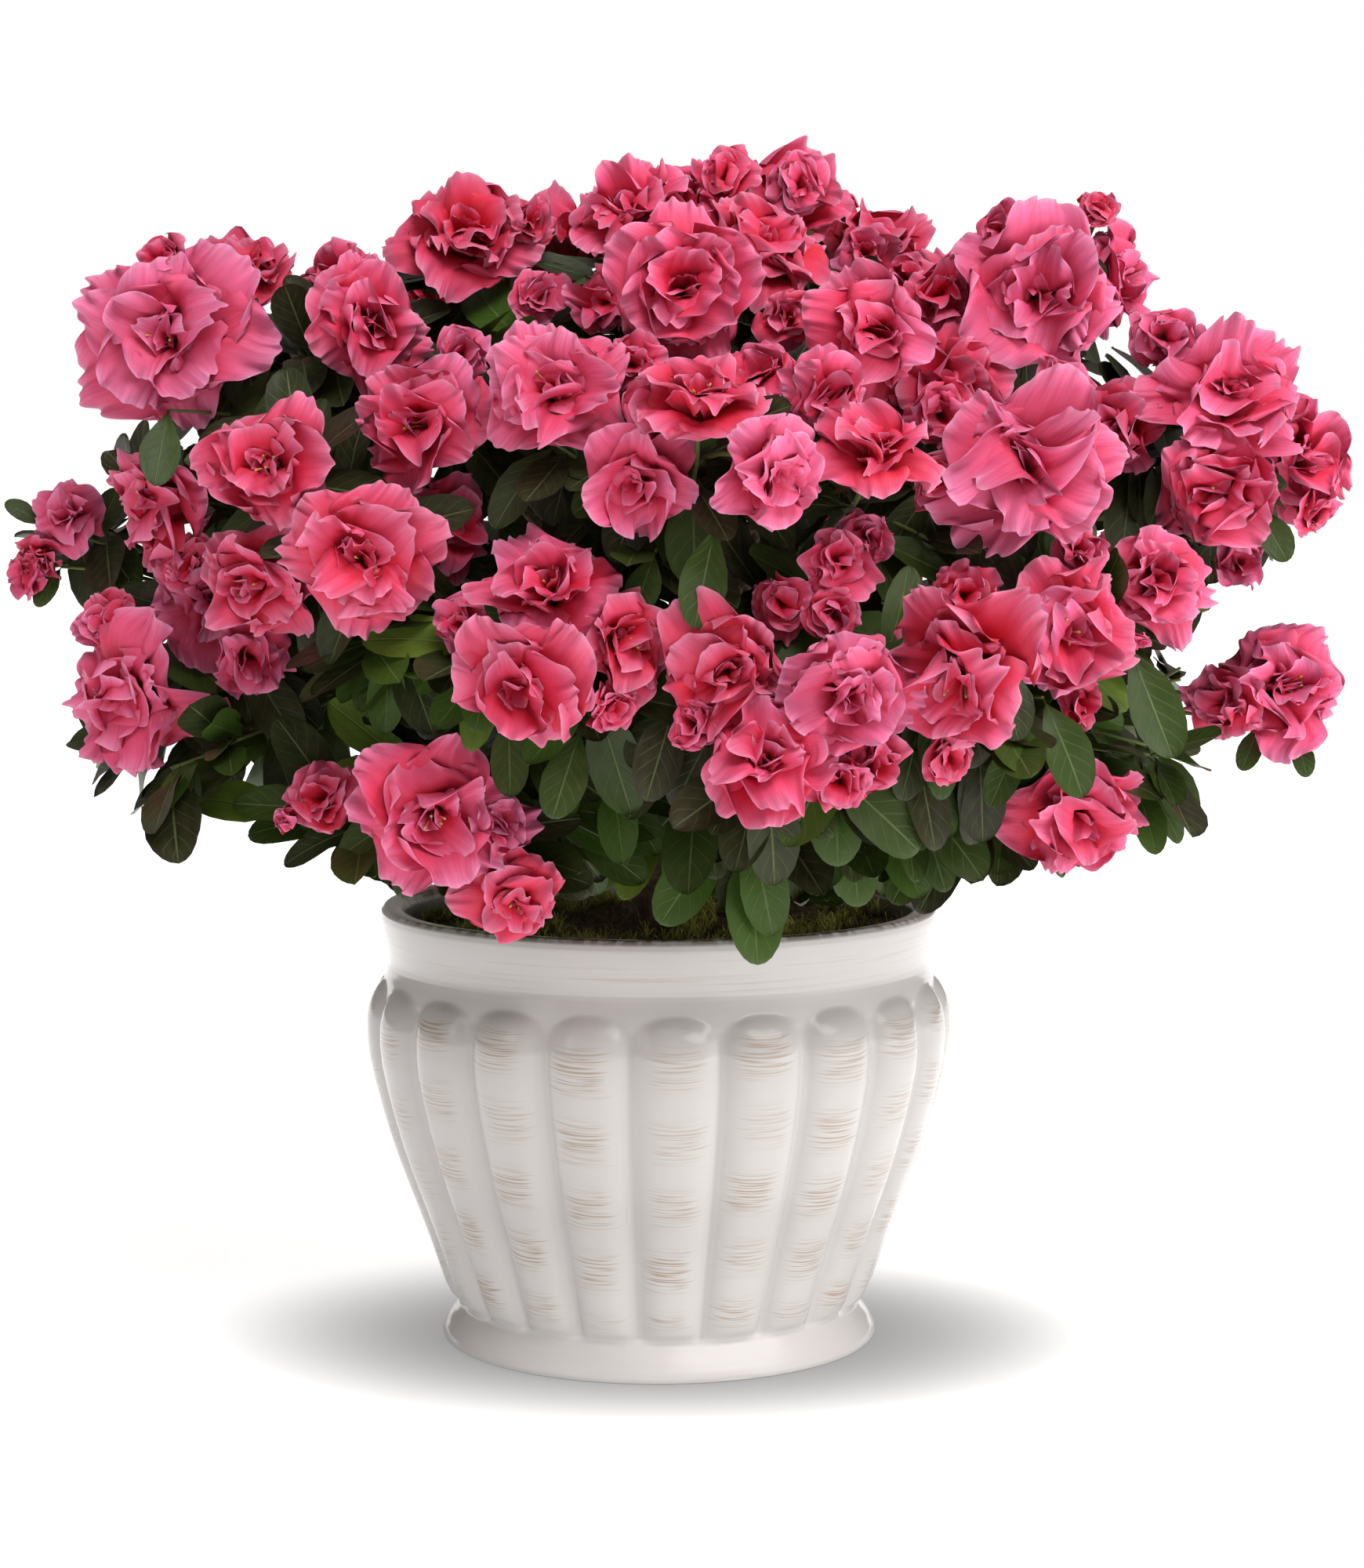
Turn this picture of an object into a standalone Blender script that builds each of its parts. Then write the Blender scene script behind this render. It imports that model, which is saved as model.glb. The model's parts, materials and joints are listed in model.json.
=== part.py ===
"""A florist's azalea in full bloom, standing in its reeded and glazed planter.

The planter stands on its flat underside with the origin at the middle of that face, +Z up and the
front towards -Y. A short trunk rises from the root ball and forks into limbs. Each limb carries
thinner boughs, and each bough ends in one spray: a mass of twigs, leaves and ruffled double blooms
that keeps to its own space. Lengths are in metres; the planting plan is in millimetres and degrees.
"""

import math
import random
from dataclasses import dataclass

import bmesh
import bpy
from mathutils import Vector
from mathutils.bvhtree import BVHTree

MM = 0.001
GAP = 0.3 * MM  # clearance between solids that touch on the real plant
GOLDEN_ANGLE = math.radians(137.508)
UP = Vector((0, 0, 1))

# ---- planter -------------------------------------------------------------------------------------
POT_HEIGHT = 140 * MM
RIM_RADIUS = 88 * MM
RIM_THICKNESS = 7 * MM
SHOULDER_RADIUS = 93 * MM
SHOULDER_HEIGHT = 102 * MM
NECK_RADIUS = 63.5 * MM
FOOT_RADIUS = 68.5 * MM
POT_FLOOR = 9 * MM
REED_COUNT = 21
SIDES_PER_REED = 4
REED_DEPTH = 4.5 * MM
REED_TURN = math.radians(3.7)  # bearing of the crest nearest the front
REED_FOOT = 13 * MM
REED_TOP = 117 * MM

# ---- root ball -----------------------------------------------------------------------------------
SOIL_MIDDLE = 132 * MM
SOIL_EDGE = 126 * MM
SOIL_FLAT_RADIUS = 22 * MM
SOIL_SIDES = 30
MOSS_RELIEF = 1.4 * MM

# ---- woody frame ---------------------------------------------------------------------------------
TRUNK_HEIGHT = 50 * MM
TRUNK_LEAN = 5 * MM
TRUNK_RADII = (12 * MM, 9.5 * MM, 7.6 * MM, 6.6 * MM, 5.6 * MM)
TRUNK_STATIONS = (0, 0.08, 0.25, 0.6, 1)
ROOT_BUTTRESS = 1.6 * MM
LIMB_BEARINGS = (43, 223, 133, 313)  # degrees from the front, to the right, lowest limb first
LIMB_STARTS = (0.5, 0.59, 0.68, 0.77)  # how far up the trunk each begins
LIMB_REACH = 36 * MM
LIMB_RISE = 35 * MM
LEADER_LEAN = Vector((5, 4, 0)) * MM
LEADER_RISE = 66 * MM
LIMB_POINTS = 4
LIMB_RADII = (3.8 * MM, 2.8 * MM)
BOUGH_RADII = (2.2 * MM, 1.7 * MM)
BOUGH_STARTS = (0.96, 0.86, 0.76, 0.66, 0.56, 0.46, 0.36)
BOUGH_BOWS = (0, 6 * MM, 12 * MM, 18 * MM, 24 * MM)
BOUGH_BOW_WAYS = 8
BOUGH_POINTS = 4
BOW_COST = 1.5  # a millimetre of bow counts as this much of length when ways are compared
LOW_START_COST = 12 * MM  # and a start at the foot of a limb as this much
BOUGH_SIDES = 5
BOUGH_END_RUN = 5 * MM  # straight, in line with the stem that it meets
LIMB_CONTROL = (0.7, 0.25)  # how far out and up a limb's curve is drawn, as shares of its reach and rise
STEM_RADIUS = 1.7 * MM
STEM_LENGTH = 13 * MM
TWIG_RADII = (1.25 * MM, 0.95 * MM)
TWIG_SIDES = 3
TWIG_DRAW = 0.4  # how far back along its bloom's axis a twig's curve is drawn, as a share of its length
KNOT_RADIUS = 2.8 * MM
KNOT_HALF = 2 * MM

# ---- crown ---------------------------------------------------------------------------------------
CROWN_HEART = Vector((0, 0, 200)) * MM  # the sprays radiate from here
FORK_DEPTH = 48 * MM  # how far a spray's fork lies inside its blooms
FORK_ROOM = 4 * MM
LEAST_PARTING = 2 * MM  # between the hulls of two masses' blooms
HULL_STEPS = 40
HULL_ACCURACY = 0.01 * MM
BLOOM_RINGS = (
    # radius and height at a lobe's middle, then between lobes, as shares of the bloom's width
    (0.50, 0.03, 0.40, -0.07),
    (0.18, 0.07, 0.24, 0.13),
)
BLOOM_SIDES = 10  # five lobes
BLOOM_NECK = 0.3  # how far behind its middle a bloom meets its twig, as a share of its width
BLOOM_HEART = 0.03
BLOOM_REACH = (0.42, 0.06)  # the share of its width that a bloom takes across and along its axis
CLEAR_OF_WOOD = 0.6 * MM
CLEAR_OF_POT = 1.5 * MM
BLOOM_SHARES = (0.98, 0.94, 0.9, 0.86, 0.82, 0.78, 0.74, 0.7, 0.66, 0.62, 0.58)
BLOOM_SHIFT = 8 * MM  # how far a bloom may move to fit
BLOOM_STEP = 1.5 * MM
WALL_SLACK = 0.05 * MM
LEAF_LENGTH = (36 * MM, 49 * MM)
LEAF_WIDTH_SHARE = 0.46
LEAF_THICKNESS_SHARE = 0.03
LEAF_BELLY = 0.55  # how far along it a leaf is widest
LEAF_CROWN = 0.25  # the share of its thickness that stands above its edge
LEAF_LEANS = (1.2, 0.95)  # radians from a bloom's twig, and from a leafy shoot
LEAF_SKY = 0.6  # how much a leaf's upper side turns outwards from the sky
LEAF_SPACING = 2.6 * MM  # between leaf roots along a twig
LEAF_SUNK = 0.4 * MM  # how far past its twig's axis a leaf's root goes
LEAF_ROOT = 3 * MM  # the stretch at its root where a leaf may touch its twig
LEAVES_UNDER_BLOOM = 2
LEAVES_ON_SHOOT = 3
LEAF_TRIES = 7
SHOOT_LENGTH = (30 * MM, 42 * MM)


@dataclass(frozen=True)
class Bloom:
    """One ruffled flower: where its middle is, in millimetres, its width, and how it looks out."""

    across: float  # to the right of the planter's axis
    toward: float  # towards the front
    height: float
    width: float
    turn: float  # degrees, 0 looks to the front and + to the right
    tilt: float  # degrees above the horizon

    def place(self):
        return Vector((self.across, -self.toward, self.height)) * MM

    def facing(self):
        turn, tilt = math.radians(self.turn), math.radians(self.tilt)
        return Vector((math.sin(turn) * math.cos(tilt), -math.cos(turn) * math.cos(tilt), math.sin(tilt)))


@dataclass(frozen=True)
class Spray:
    """One mass of the crown: its leafy shoots, and the blooms on it."""

    name: str
    shoots: int
    blooms: tuple


def spray(name, shoots, *blooms):
    return Spray(name, shoots, tuple(Bloom(*bloom) for bloom in blooms))


FRONT_SPRAYS = (
    spray(
        "left_shoulder", 2,
        (-145, 60, 320, 58, -15, 0), (-126, 10, 338, 42, 10, 45), (-104, 26, 328, 36, -30, 20),
    ),
    spray(
        "left_peak", 2,
        (-85, 75, 322, 46, 20, 5), (-55, 40, 348, 54, 0, 35), (-66, 108, 292, 46, -20, 5),
    ),
    spray("left_breast", 2, (-110, 120, 281, 46, -10, 10), (-150, 60, 268, 44, -50, 0)),
    spray("left_sprig", 2, (-186, 10, 263, 30, -15, 20), (-200, 12, 244, 20, -60, -10)),
    spray(
        "left_front", 2,
        (-83, 135, 253, 52, 0, -10), (-54, 98, 264, 40, 40, 0), (-114, 104, 247, 36, -30, -10),
    ),
    spray("left_low", 3, (-156, 70, 213, 52, -20, -5), (-134, 62, 240, 42, 10, 20)),
    spray(
        "left_foot", 3,
        (-65, 120, 180, 46, 5, -10), (-100, 96, 183, 22, -10, 20), (-40, 106, 152, 26, 10, -60),
    ),
    spray(
        "front_left", 3,
        (-30, 136, 250, 44, 0, 50), (-37, 150, 220, 46, -10, -20), (-8, 138, 233, 36, 45, 0),
    ),
    spray("crest", 1, (8, 100, 331, 50, 0, 5), (-12, 60, 353, 46, -20, 40), (32, 72, 346, 44, 30, 25)),
    spray("top", 1, (40, 16, 364, 50, 10, 60), (70, -14, 352, 44, 30, 45)),
    spray(
        "front_high", 2,
        (12, 150, 299, 34, 0, 60), (32, 154, 280, 42, 40, -15), (-6, 140, 275, 42, -10, -20),
        (-28, 122, 302, 48, -10, 15),
    ),
    spray(
        "right_heart", 3,
        (62, 105, 319, 44, 20, 0), (62, 142, 286, 32, 20, 45), (105, 120, 281, 54, 0, 5),
    ),
    spray(
        "right_peak", 2,
        (112, 70, 330, 54, 0, 5), (143, 30, 340, 44, 50, 10), (94, 22, 336, 40, -20, 25),
    ),
    spray(
        "right_shoulder", 2,
        (172, 50, 303, 54, 10, 25), (168, 62, 274, 44, -10, -15), (199, 20, 283, 44, 55, 0),
    ),
    spray("right_low", 4, (147, 88, 243, 44, 20, 5), (127, 100, 180, 42, 20, -35)),
    spray("right_sprig", 3, (197, 10, 207, 46, 20, 15)),
    spray("right_front", 3, (86, 146, 223, 54, -30, -15), (117, 120, 233, 46, 15, -5)),
    spray(
        "front_right", 4,
        (54, 150, 219, 48, 10, -10), (20, 142, 228, 44, -10, 0), (33, 150, 194, 44, 0, 15),
    ),
)


@dataclass(frozen=True)
class BackTier:
    """A row of sprays round the far side of the crown, each a ring of blooms on its outward axis."""

    name: str
    count: int
    span: float  # degrees from the first spray to the last, seen from above
    reach: float  # from the planter's axis, mm
    height: float
    blooms: int = 4
    bloom_width: float = 50
    ring: float = 33
    shoots: int = 2


BACK_TIERS = (
    BackTier("back_top", 1, 0, 40, 352, blooms=3),
    BackTier("back_high", 3, 116, 104, 318),
    BackTier("back_low", 4, 138, 150, 236),
)


# ---- shapes: (points, faces) of one closed body --------------------------------------------------
def band(low, high):
    """The faces between two rings of point numbers: quads where their counts match, else triangles."""
    if len(low) == len(high):
        return [(low[k - 1], low[k], high[k], high[k - 1]) for k in range(len(low))]
    rings, at, faces = (low, high), [0, 0], []
    steps = [((k + 0.5) / len(ring), which) for which, ring in enumerate(rings) for k in range(len(ring))]
    for _, which in sorted(steps):
        if len(rings[which]) == 1:
            continue
        corners = [ring[i % len(ring)] for ring, i in zip(rings, at)]
        at[which] += 1
        corners.insert(1, rings[which][at[which] % len(rings[which])])
        faces.append(tuple(corners))
    return faces


def loft(rings):
    """A closed body through rings of points; a ring of one point is an apex, others are capped flat."""
    points, numbers = [], []
    for ring in rings:
        numbers.append(range(len(points), len(points) + len(ring)))
        points += ring
    faces = [face for low, high in zip(numbers, numbers[1:]) for face in band(low, high)]
    faces += [tuple(numbers[end]) for end in (0, -1) if len(numbers[end]) > 1]
    return points, faces


def turned(profile, sides, turn=0.0, groove=lambda row, angle: 0.0):
    """A body turned about the vertical axis from (radius, z) rows, less grooves that run up it."""
    rings = []
    for row, (radius, z) in enumerate(profile):
        angles = [turn + math.tau * k / sides for k in range(sides)]
        reach = [radius - groove(row, angle) for angle in angles]
        rings.append([Vector((r * math.sin(a), -r * math.cos(a), z)) for r, a in zip(reach, angles)])
    return loft(rings)


def side_axes(direction):
    """Two unit vectors square to a direction."""
    hint = UP if abs(direction.z) < 0.95 else Vector((0, 1, 0))
    first = direction.cross(hint).normalized()
    return first, direction.cross(first).normalized()


def tube_rings(points, radii, sides, swell=lambda ring, angle: 0.0):
    """Rings of points round a path, one at each of its points, that don't twist along it."""
    rings, first = [], None
    for i, point in enumerate(points):
        ahead = (points[min(i + 1, len(points) - 1)] - points[max(i - 1, 0)]).normalized()
        if first is None:
            first = side_axes(ahead)[0]
        first = (first - ahead * first.dot(ahead)).normalized()
        second = ahead.cross(first)
        ring = []
        for k in range(sides):
            angle = math.tau * k / sides
            side = first * math.cos(angle) + second * math.sin(angle)
            ring.append(point + side * (radii[i] + swell(i, angle)))
        rings.append(ring)
    return rings


def tube(points, radii, sides, swell=lambda ring, angle: 0.0):
    """A limb through the points, flat at both ends, with one ring of the given radius at each."""
    return loft(tube_rings(points, radii, sides, swell))


def bend(start, control, end, count):
    """Points along a quadratic curve."""
    steps = [i / (count - 1) for i in range(count)]
    return [start * (1 - t) ** 2 + control * 2 * t * (1 - t) + end * t * t for t in steps]


def taper(radii, count):
    return [radii[0] + (radii[1] - radii[0]) * i / (count - 1) for i in range(count)]


def tree_of(shape):
    return BVHTree.FromPolygons(*shape)


def together(shapes):
    """Several shapes as one list of points and faces."""
    points, faces = [], []
    for some_points, some_faces in shapes:
        faces += [tuple(i + len(points) for i in face) for face in some_faces]
        points += some_points
    return points, faces


# ---- Blender objects -----------------------------------------------------------------------------
def material(name, colour, roughness):
    made = bpy.data.materials.new(name)
    made.use_nodes = True
    shader = made.node_tree.nodes["Principled BSDF"]
    shader.inputs["Base Color"].default_value = (*colour, 1)
    shader.inputs["Roughness"].default_value = roughness
    return made


def solid(name, shape, finish, collection=None):
    """A mesh object of the shape, with its faces turned outwards."""
    mesh = bpy.data.meshes.new(name)
    mesh.from_pydata([tuple(point) for point in shape[0]], [], shape[1])
    shell = bmesh.new()
    shell.from_mesh(mesh)
    bmesh.ops.recalc_face_normals(shell, faces=shell.faces)
    shell.to_mesh(mesh)
    shell.free()
    mesh.materials.append(finish)
    made = bpy.data.objects.new(name, mesh)
    (collection or bpy.context.scene.collection).objects.link(made)
    return made


def working_collection(name):
    made = bpy.data.collections.new(name)
    bpy.context.scene.collection.children.link(made)
    return made


def keep_largest_shell(mesh):
    """Drops every closed shell but the biggest: loose scraps go, and sealed hollows are filled."""
    shell = bmesh.new()
    shell.from_mesh(mesh)
    left, shells = set(shell.faces), []
    while left:
        reached = {left.pop()}
        edge_on = list(reached)
        while edge_on:
            touching = {face for edge in edge_on.pop().edges for face in edge.link_faces} & left
            left -= touching
            reached |= touching
            edge_on += touching
        shells.append(reached)
    shells.sort(key=lambda faces: sum(face.calc_area() for face in faces))
    scraps = [face for faces in shells[:-1] for face in faces]
    bmesh.ops.delete(shell, geom=scraps, context="FACES")
    shell.to_mesh(mesh)
    shell.free()


def apply_boolean(obj, operation, collection):
    """Fuses the collection's objects into this one, or cuts them away, and removes the collection."""
    modifier = obj.modifiers.new("Fuse or cut", "BOOLEAN")
    modifier.operation = operation
    modifier.operand_type = "COLLECTION"
    modifier.collection = collection
    modifier.solver = "MANIFOLD"
    graph = bpy.context.evaluated_depsgraph_get()
    result = bpy.data.meshes.new_from_object(obj.evaluated_get(graph))
    obj.modifiers.clear()
    obj.data = result
    for piece in list(collection.objects):
        bpy.data.objects.remove(piece)
    bpy.data.collections.remove(collection)
    keep_largest_shell(result)


# ---- planter and root ball -----------------------------------------------------------------------
INNER_WALL = (
    # radius, z from the floor's edge up to the rim
    (52 * MM, POT_FLOOR),
    (76 * MM, 76 * MM),
    (RIM_RADIUS - RIM_THICKNESS - 0.5 * MM, POT_HEIGHT - 8 * MM),
)


def build_planter():
    """The planter: a flared foot, a reeded bowl, a plain collar and a rounded rim."""
    outer_wall = (
        # radius, z, share of the reeds' depth
        (FOOT_RADIUS - 2 * MM, 0, 0),
        (FOOT_RADIUS, 2.5 * MM, 0),
        (NECK_RADIUS + 1.5 * MM, 9 * MM, 0),
        (NECK_RADIUS, REED_FOOT, 0.15),
        (NECK_RADIUS + 3.2 * MM, REED_FOOT + 7 * MM, 1),
        (77.5 * MM, 48 * MM, 1),
        (88.8 * MM, 81 * MM, 1),
        (SHOULDER_RADIUS, SHOULDER_HEIGHT, 1),
        (90.5 * MM, SHOULDER_HEIGHT + 9 * MM, 0.8),
        (RIM_RADIUS - 2 * MM, REED_TOP, 0.1),
        (RIM_RADIUS - 3.5 * MM, REED_TOP + 4 * MM, 0),
        (RIM_RADIUS - 0.5 * MM, POT_HEIGHT - 5 * MM, 0),
        (RIM_RADIUS - 2 * MM, POT_HEIGHT, 0),
        (RIM_RADIUS - RIM_THICKNESS + 1 * MM, POT_HEIGHT - 1 * MM, 0),
    )
    rows = outer_wall + tuple((radius, z, 0) for radius, z in reversed(INNER_WALL))

    def groove(row, angle):
        """The valleys between the reeds are narrow, and the crests broad."""
        phase = (angle - REED_TURN) * REED_COUNT / math.tau
        return REED_DEPTH * rows[row][2] * (1 - abs(math.cos(math.pi * phase))) ** 1.5

    shape = turned([row[:2] for row in rows], REED_COUNT * SIDES_PER_REED, REED_TURN, groove)
    return solid("planter", shape, material("white_glaze", (0.86, 0.84, 0.82), 0.18))


def soil_height(radius):
    """The root ball's top is flat round the trunk, then slopes to the planter's wall."""
    slope = max(0.0, radius - SOIL_FLAT_RADIUS) / (RIM_RADIUS - SOIL_FLAT_RADIUS)
    return SOIL_MIDDLE + (SOIL_EDGE - SOIL_MIDDLE) * slope


def build_root_ball():
    """The mossy potting mix that fills the planter, just clear of its wall."""
    floor, belly, rim = [Vector((radius - 2 * GAP, z)) for radius, z in INNER_WALL]
    edge = belly.lerp(rim, (SOIL_EDGE - belly.y) / (rim.y - belly.y))
    top = [(radius, soil_height(radius)) for radius in (66 * MM, 44 * MM, SOIL_FLAT_RADIUS)]
    rows = [(floor.x, floor.y + GAP), tuple(belly), tuple(edge), *top]

    def hummocks(row, angle):
        return MOSS_RELIEF * math.sin(5 * angle + row) if row in (3, 4) else 0.0

    points, faces = turned(rows, SOIL_SIDES, 0.0, hummocks)
    for point in points:
        if SOIL_EDGE + 0.5 * MM < point.z < SOIL_MIDDLE - 0.5 * MM:
            point.z += MOSS_RELIEF * math.sin(3 * math.atan2(point.y, point.x))
    return solid("root_ball", (points, faces), material("mossy_soil", (0.06, 0.045, 0.02), 0.95))


# ---- woody frame ---------------------------------------------------------------------------------
@dataclass(frozen=True)
class Limb:
    """A tapering limb: its node's name, the points it runs through and its radius at each."""

    name: str
    points: list
    radii: list
    sides: int = 6

    def end_direction(self):
        return (self.points[-1] - self.points[-2]).normalized()

    def at(self, share):
        """The point that far along the limb, from 0 to 1."""
        place = share * (len(self.points) - 1)
        i = min(int(place), len(self.points) - 2)
        return self.points[i].lerp(self.points[i + 1], place - i)

    def shape(self, extra=0.0, first=0, last=None):
        """The limb, or the stretch of it between two of its points, thicker by a margin."""
        radii = [radius + extra for radius in self.radii]
        swell = root_buttress if self.name == "trunk" else lambda ring, angle: 0.0
        return tube(self.points[first:last], radii[first:last], self.sides, swell)


def root_buttress(ring, angle):
    """The main roots' swelling at the foot of the trunk."""
    return ROOT_BUTTRESS * math.cos(5 * angle) if ring == 0 else 0.0


def trunk_limb():
    """The short trunk, flared over the roots and leaning a little, cut flat on the soil."""
    foot = Vector((0, 0, SOIL_MIDDLE + GAP))
    points = [foot + Vector((TRUNK_LEAN * s * s, 0, TRUNK_HEIGHT * s)) for s in TRUNK_STATIONS]
    points[1].x = 0
    return Limb("trunk", points, list(TRUNK_RADII), sides=10)


def main_limbs(trunk):
    """The limbs that the trunk forks into: a leader that goes on up, and a ring of others."""
    radii = taper(LIMB_RADII, LIMB_POINTS)
    tip = trunk.points[-1] + trunk.end_direction() * GAP
    rise = trunk.end_direction() * LEADER_RISE / 2
    leader = bend(tip, tip + rise, tip + LEADER_LEAN + UP * LEADER_RISE, LIMB_POINTS)
    limbs = [Limb("limb_leader", leader, radii)]
    for k, (degrees, share) in enumerate(zip(LIMB_BEARINGS, LIMB_STARTS), start=1):
        bearing = math.radians(degrees)
        out = Vector((math.sin(bearing), -math.cos(bearing), 0)) * LIMB_REACH
        start = trunk.at(share)
        control = start + out * LIMB_CONTROL[0] + UP * LIMB_RISE * LIMB_CONTROL[1]
        path = bend(start, control, start + out + UP * LIMB_RISE, LIMB_POINTS)
        limbs.append(Limb(f"limb_{k}", path, radii))
    return limbs


def bough_ways(mass, limbs):
    """Ways for a bough to reach a mass, the best first, as (parent limb's name, bough)."""
    ways = []
    for limb in limbs:
        for share in BOUGH_STARTS:
            start = limb.at(share)
            reach = (mass.fork - start).length
            if reach < STEM_LENGTH + 3 * BOUGH_END_RUN:
                continue
            first, second = side_axes((mass.fork - start).normalized())
            for bow in BOUGH_BOWS:
                for step in range(BOUGH_BOW_WAYS if bow else 1):
                    around = math.tau * step / BOUGH_BOW_WAYS
                    side = first * math.cos(around) + second * math.sin(around)
                    bough = bough_by_way(mass, start, start.lerp(mass.fork, 0.5) + side * bow)
                    ways.append((reach + bow * BOW_COST + (1 - share) * LOW_START_COST, limb.name, bough))
    ways.sort(key=lambda way: way[0])
    return [way[1:] for way in ways]


def bough_by_way(mass, start, control):
    """The bough from a start round a control point, ending in line with the mass's stem."""
    arrival = (mass.fork - control).normalized()
    tip = mass.fork - arrival * STEM_LENGTH
    path = [*bend(start, control, tip - arrival * BOUGH_END_RUN, BOUGH_POINTS - 1), tip]
    return Limb(f"bough_{mass.plan.name}", path, taper(BOUGH_RADII, BOUGH_POINTS), BOUGH_SIDES)


def first_blocked(order, trunk, limbs, crown):
    """Gives each mass in turn the best clear bough; returns the first mass that has none, if any."""
    wood = {limb.name: tree_of(limb.shape(GAP)) for limb in (trunk, *limbs)}
    for mass in order:
        for parent, bough in bough_ways(mass, limbs):
            whole = tree_of(bough.shape(GAP))
            past_its_foot = tree_of(bough.shape(GAP, first=1))
            others = [crown, *(tree for name, tree in wood.items() if name != parent)]
            if not past_its_foot.overlap(wood[parent]) and not any(map(whole.overlap, others)):
                break
        else:
            return mass
        mass.bough = bough
        wood[bough.name] = whole
    return None


def route_boughs(masses, trunk, limbs):
    """One bough to each mass, clear of the other wood and of every mass's twigs and blooms."""
    crown = tree_of(together(shape for mass in masses for shape, path in mass.fitted))
    order = sorted(masses, key=lambda mass: (mass.fork - CROWN_HEART).length)
    for _ in masses:
        blocked = first_blocked(order, trunk, limbs, crown)
        if blocked is None:
            return [mass.bough for mass in masses]
        order.remove(blocked)
        order.insert(0, blocked)
    raise ValueError(f"no clear way for a bough to {blocked.plan.name}")


def build_limb(limb, earlier, finish):
    """A limb's solid, cut clear of each earlier limb that it grows from."""
    made = solid(limb.name, limb.shape(), finish)
    cutters = working_collection(f"cut_{limb.name}")
    own = tree_of(limb.shape())
    for other in earlier:
        if own.overlap(tree_of(other.shape(GAP))):
            solid(f"cut_{other.name}", other.shape(1.2 * GAP), finish, cutters)
    if cutters.objects:
        apply_boolean(made, "DIFFERENCE", cutters)
    else:
        bpy.data.collections.remove(cutters)
    return made


# ---- sprays --------------------------------------------------------------------------------------
def back_sprays():
    """The sprays of the far side, worked out from each tier."""
    made = []
    for tier in BACK_TIERS:
        for i in range(tier.count):
            bearing = math.radians(180 + tier.span * (i / max(tier.count - 1, 1) - 0.5))
            middle = Vector((math.sin(bearing) * tier.reach, -math.cos(bearing) * tier.reach, tier.height))
            outward = (middle - CROWN_HEART / MM).normalized()
            first, second = side_axes(outward)
            blooms = []
            for k in range(tier.blooms):
                around = math.tau * k / (tier.blooms - 1) + bearing
                ring = (first * math.cos(around) + second * math.sin(around)) * (tier.ring if k else 0)
                place = middle + ring - outward * (0.12 * ring.length)
                facing = (outward + ring / (2.4 * tier.ring)).normalized()
                turn = math.degrees(math.atan2(facing.x, -facing.y))
                tilt = math.degrees(math.asin(facing.z))
                blooms.append((place.x, -place.y, place.z, tier.bloom_width - 2 * k, turn, tilt))
            made.append(spray(f"{tier.name}_{i + 1}", tier.shoots, *blooms))
    return made


def bloom_shape(fork, place, facing, width):
    """A double flower on its twig: a funnel, five spread lobes and a raised ruffle inside them."""
    neck = place - facing * width * BLOOM_NECK
    path = bend(fork, neck - facing * (neck - fork).length * TWIG_DRAW, neck, 3)
    rings = tube_rings(path, taper(TWIG_RADII, len(path)), TWIG_SIDES)
    first = rings[-1][0] - neck
    first = (first - facing * first.dot(facing)).normalized()
    second = facing.cross(first)
    for lobe_radius, lobe_height, dip_radius, dip_height in BLOOM_RINGS:
        ring = []
        for k in range(BLOOM_SIDES):
            angle = math.tau * k / BLOOM_SIDES
            radius, height = (dip_radius, dip_height) if k % 2 else (lobe_radius, lobe_height)
            side = first * math.cos(angle) + second * math.sin(angle)
            ring.append(place + (side * radius + facing * height) * width)
        rings.append(ring)
    return loft([*rings, [place + facing * width * BLOOM_HEART]]), path


def beyond_fork(shape):
    """A bloom and its twig without the stretch that all of a spray's twigs share."""
    return shape[0], shape[1][TWIG_SIDES:-1]


def stem_shape(foot, fork):
    """The stem of a mass, from its bough's tip to the knot that its twigs fork from."""
    ahead = (fork - foot).normalized()
    points = [foot, fork - ahead * KNOT_HALF, fork, fork + ahead * KNOT_HALF]
    return tube(points, [STEM_RADIUS, STEM_RADIUS, KNOT_RADIUS, STEM_RADIUS], BOUGH_SIDES)


def leaf_shape(root, direction, face, length):
    """One elliptic leaf of eight faces, widest past its middle."""
    side = direction.cross(face).normalized() * length * LEAF_WIDTH_SHARE / 2
    thick = face * length * LEAF_THICKNESS_SHARE
    belly = root + direction * length * LEAF_BELLY
    outline = [root, belly - side, root + direction * length, belly + side]
    return loft([[belly + thick * LEAF_CROWN], outline, [belly - thick * (1 - LEAF_CROWN)]])


def worst_wall(shape, walls):
    """How far a shape stands over the wall that it passes most, and that wall's normal."""
    over = [(normal.dot(point) - offset, normal) for normal, offset in walls for point in shape[0]]
    return max(over, key=lambda one: one[0])


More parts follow.
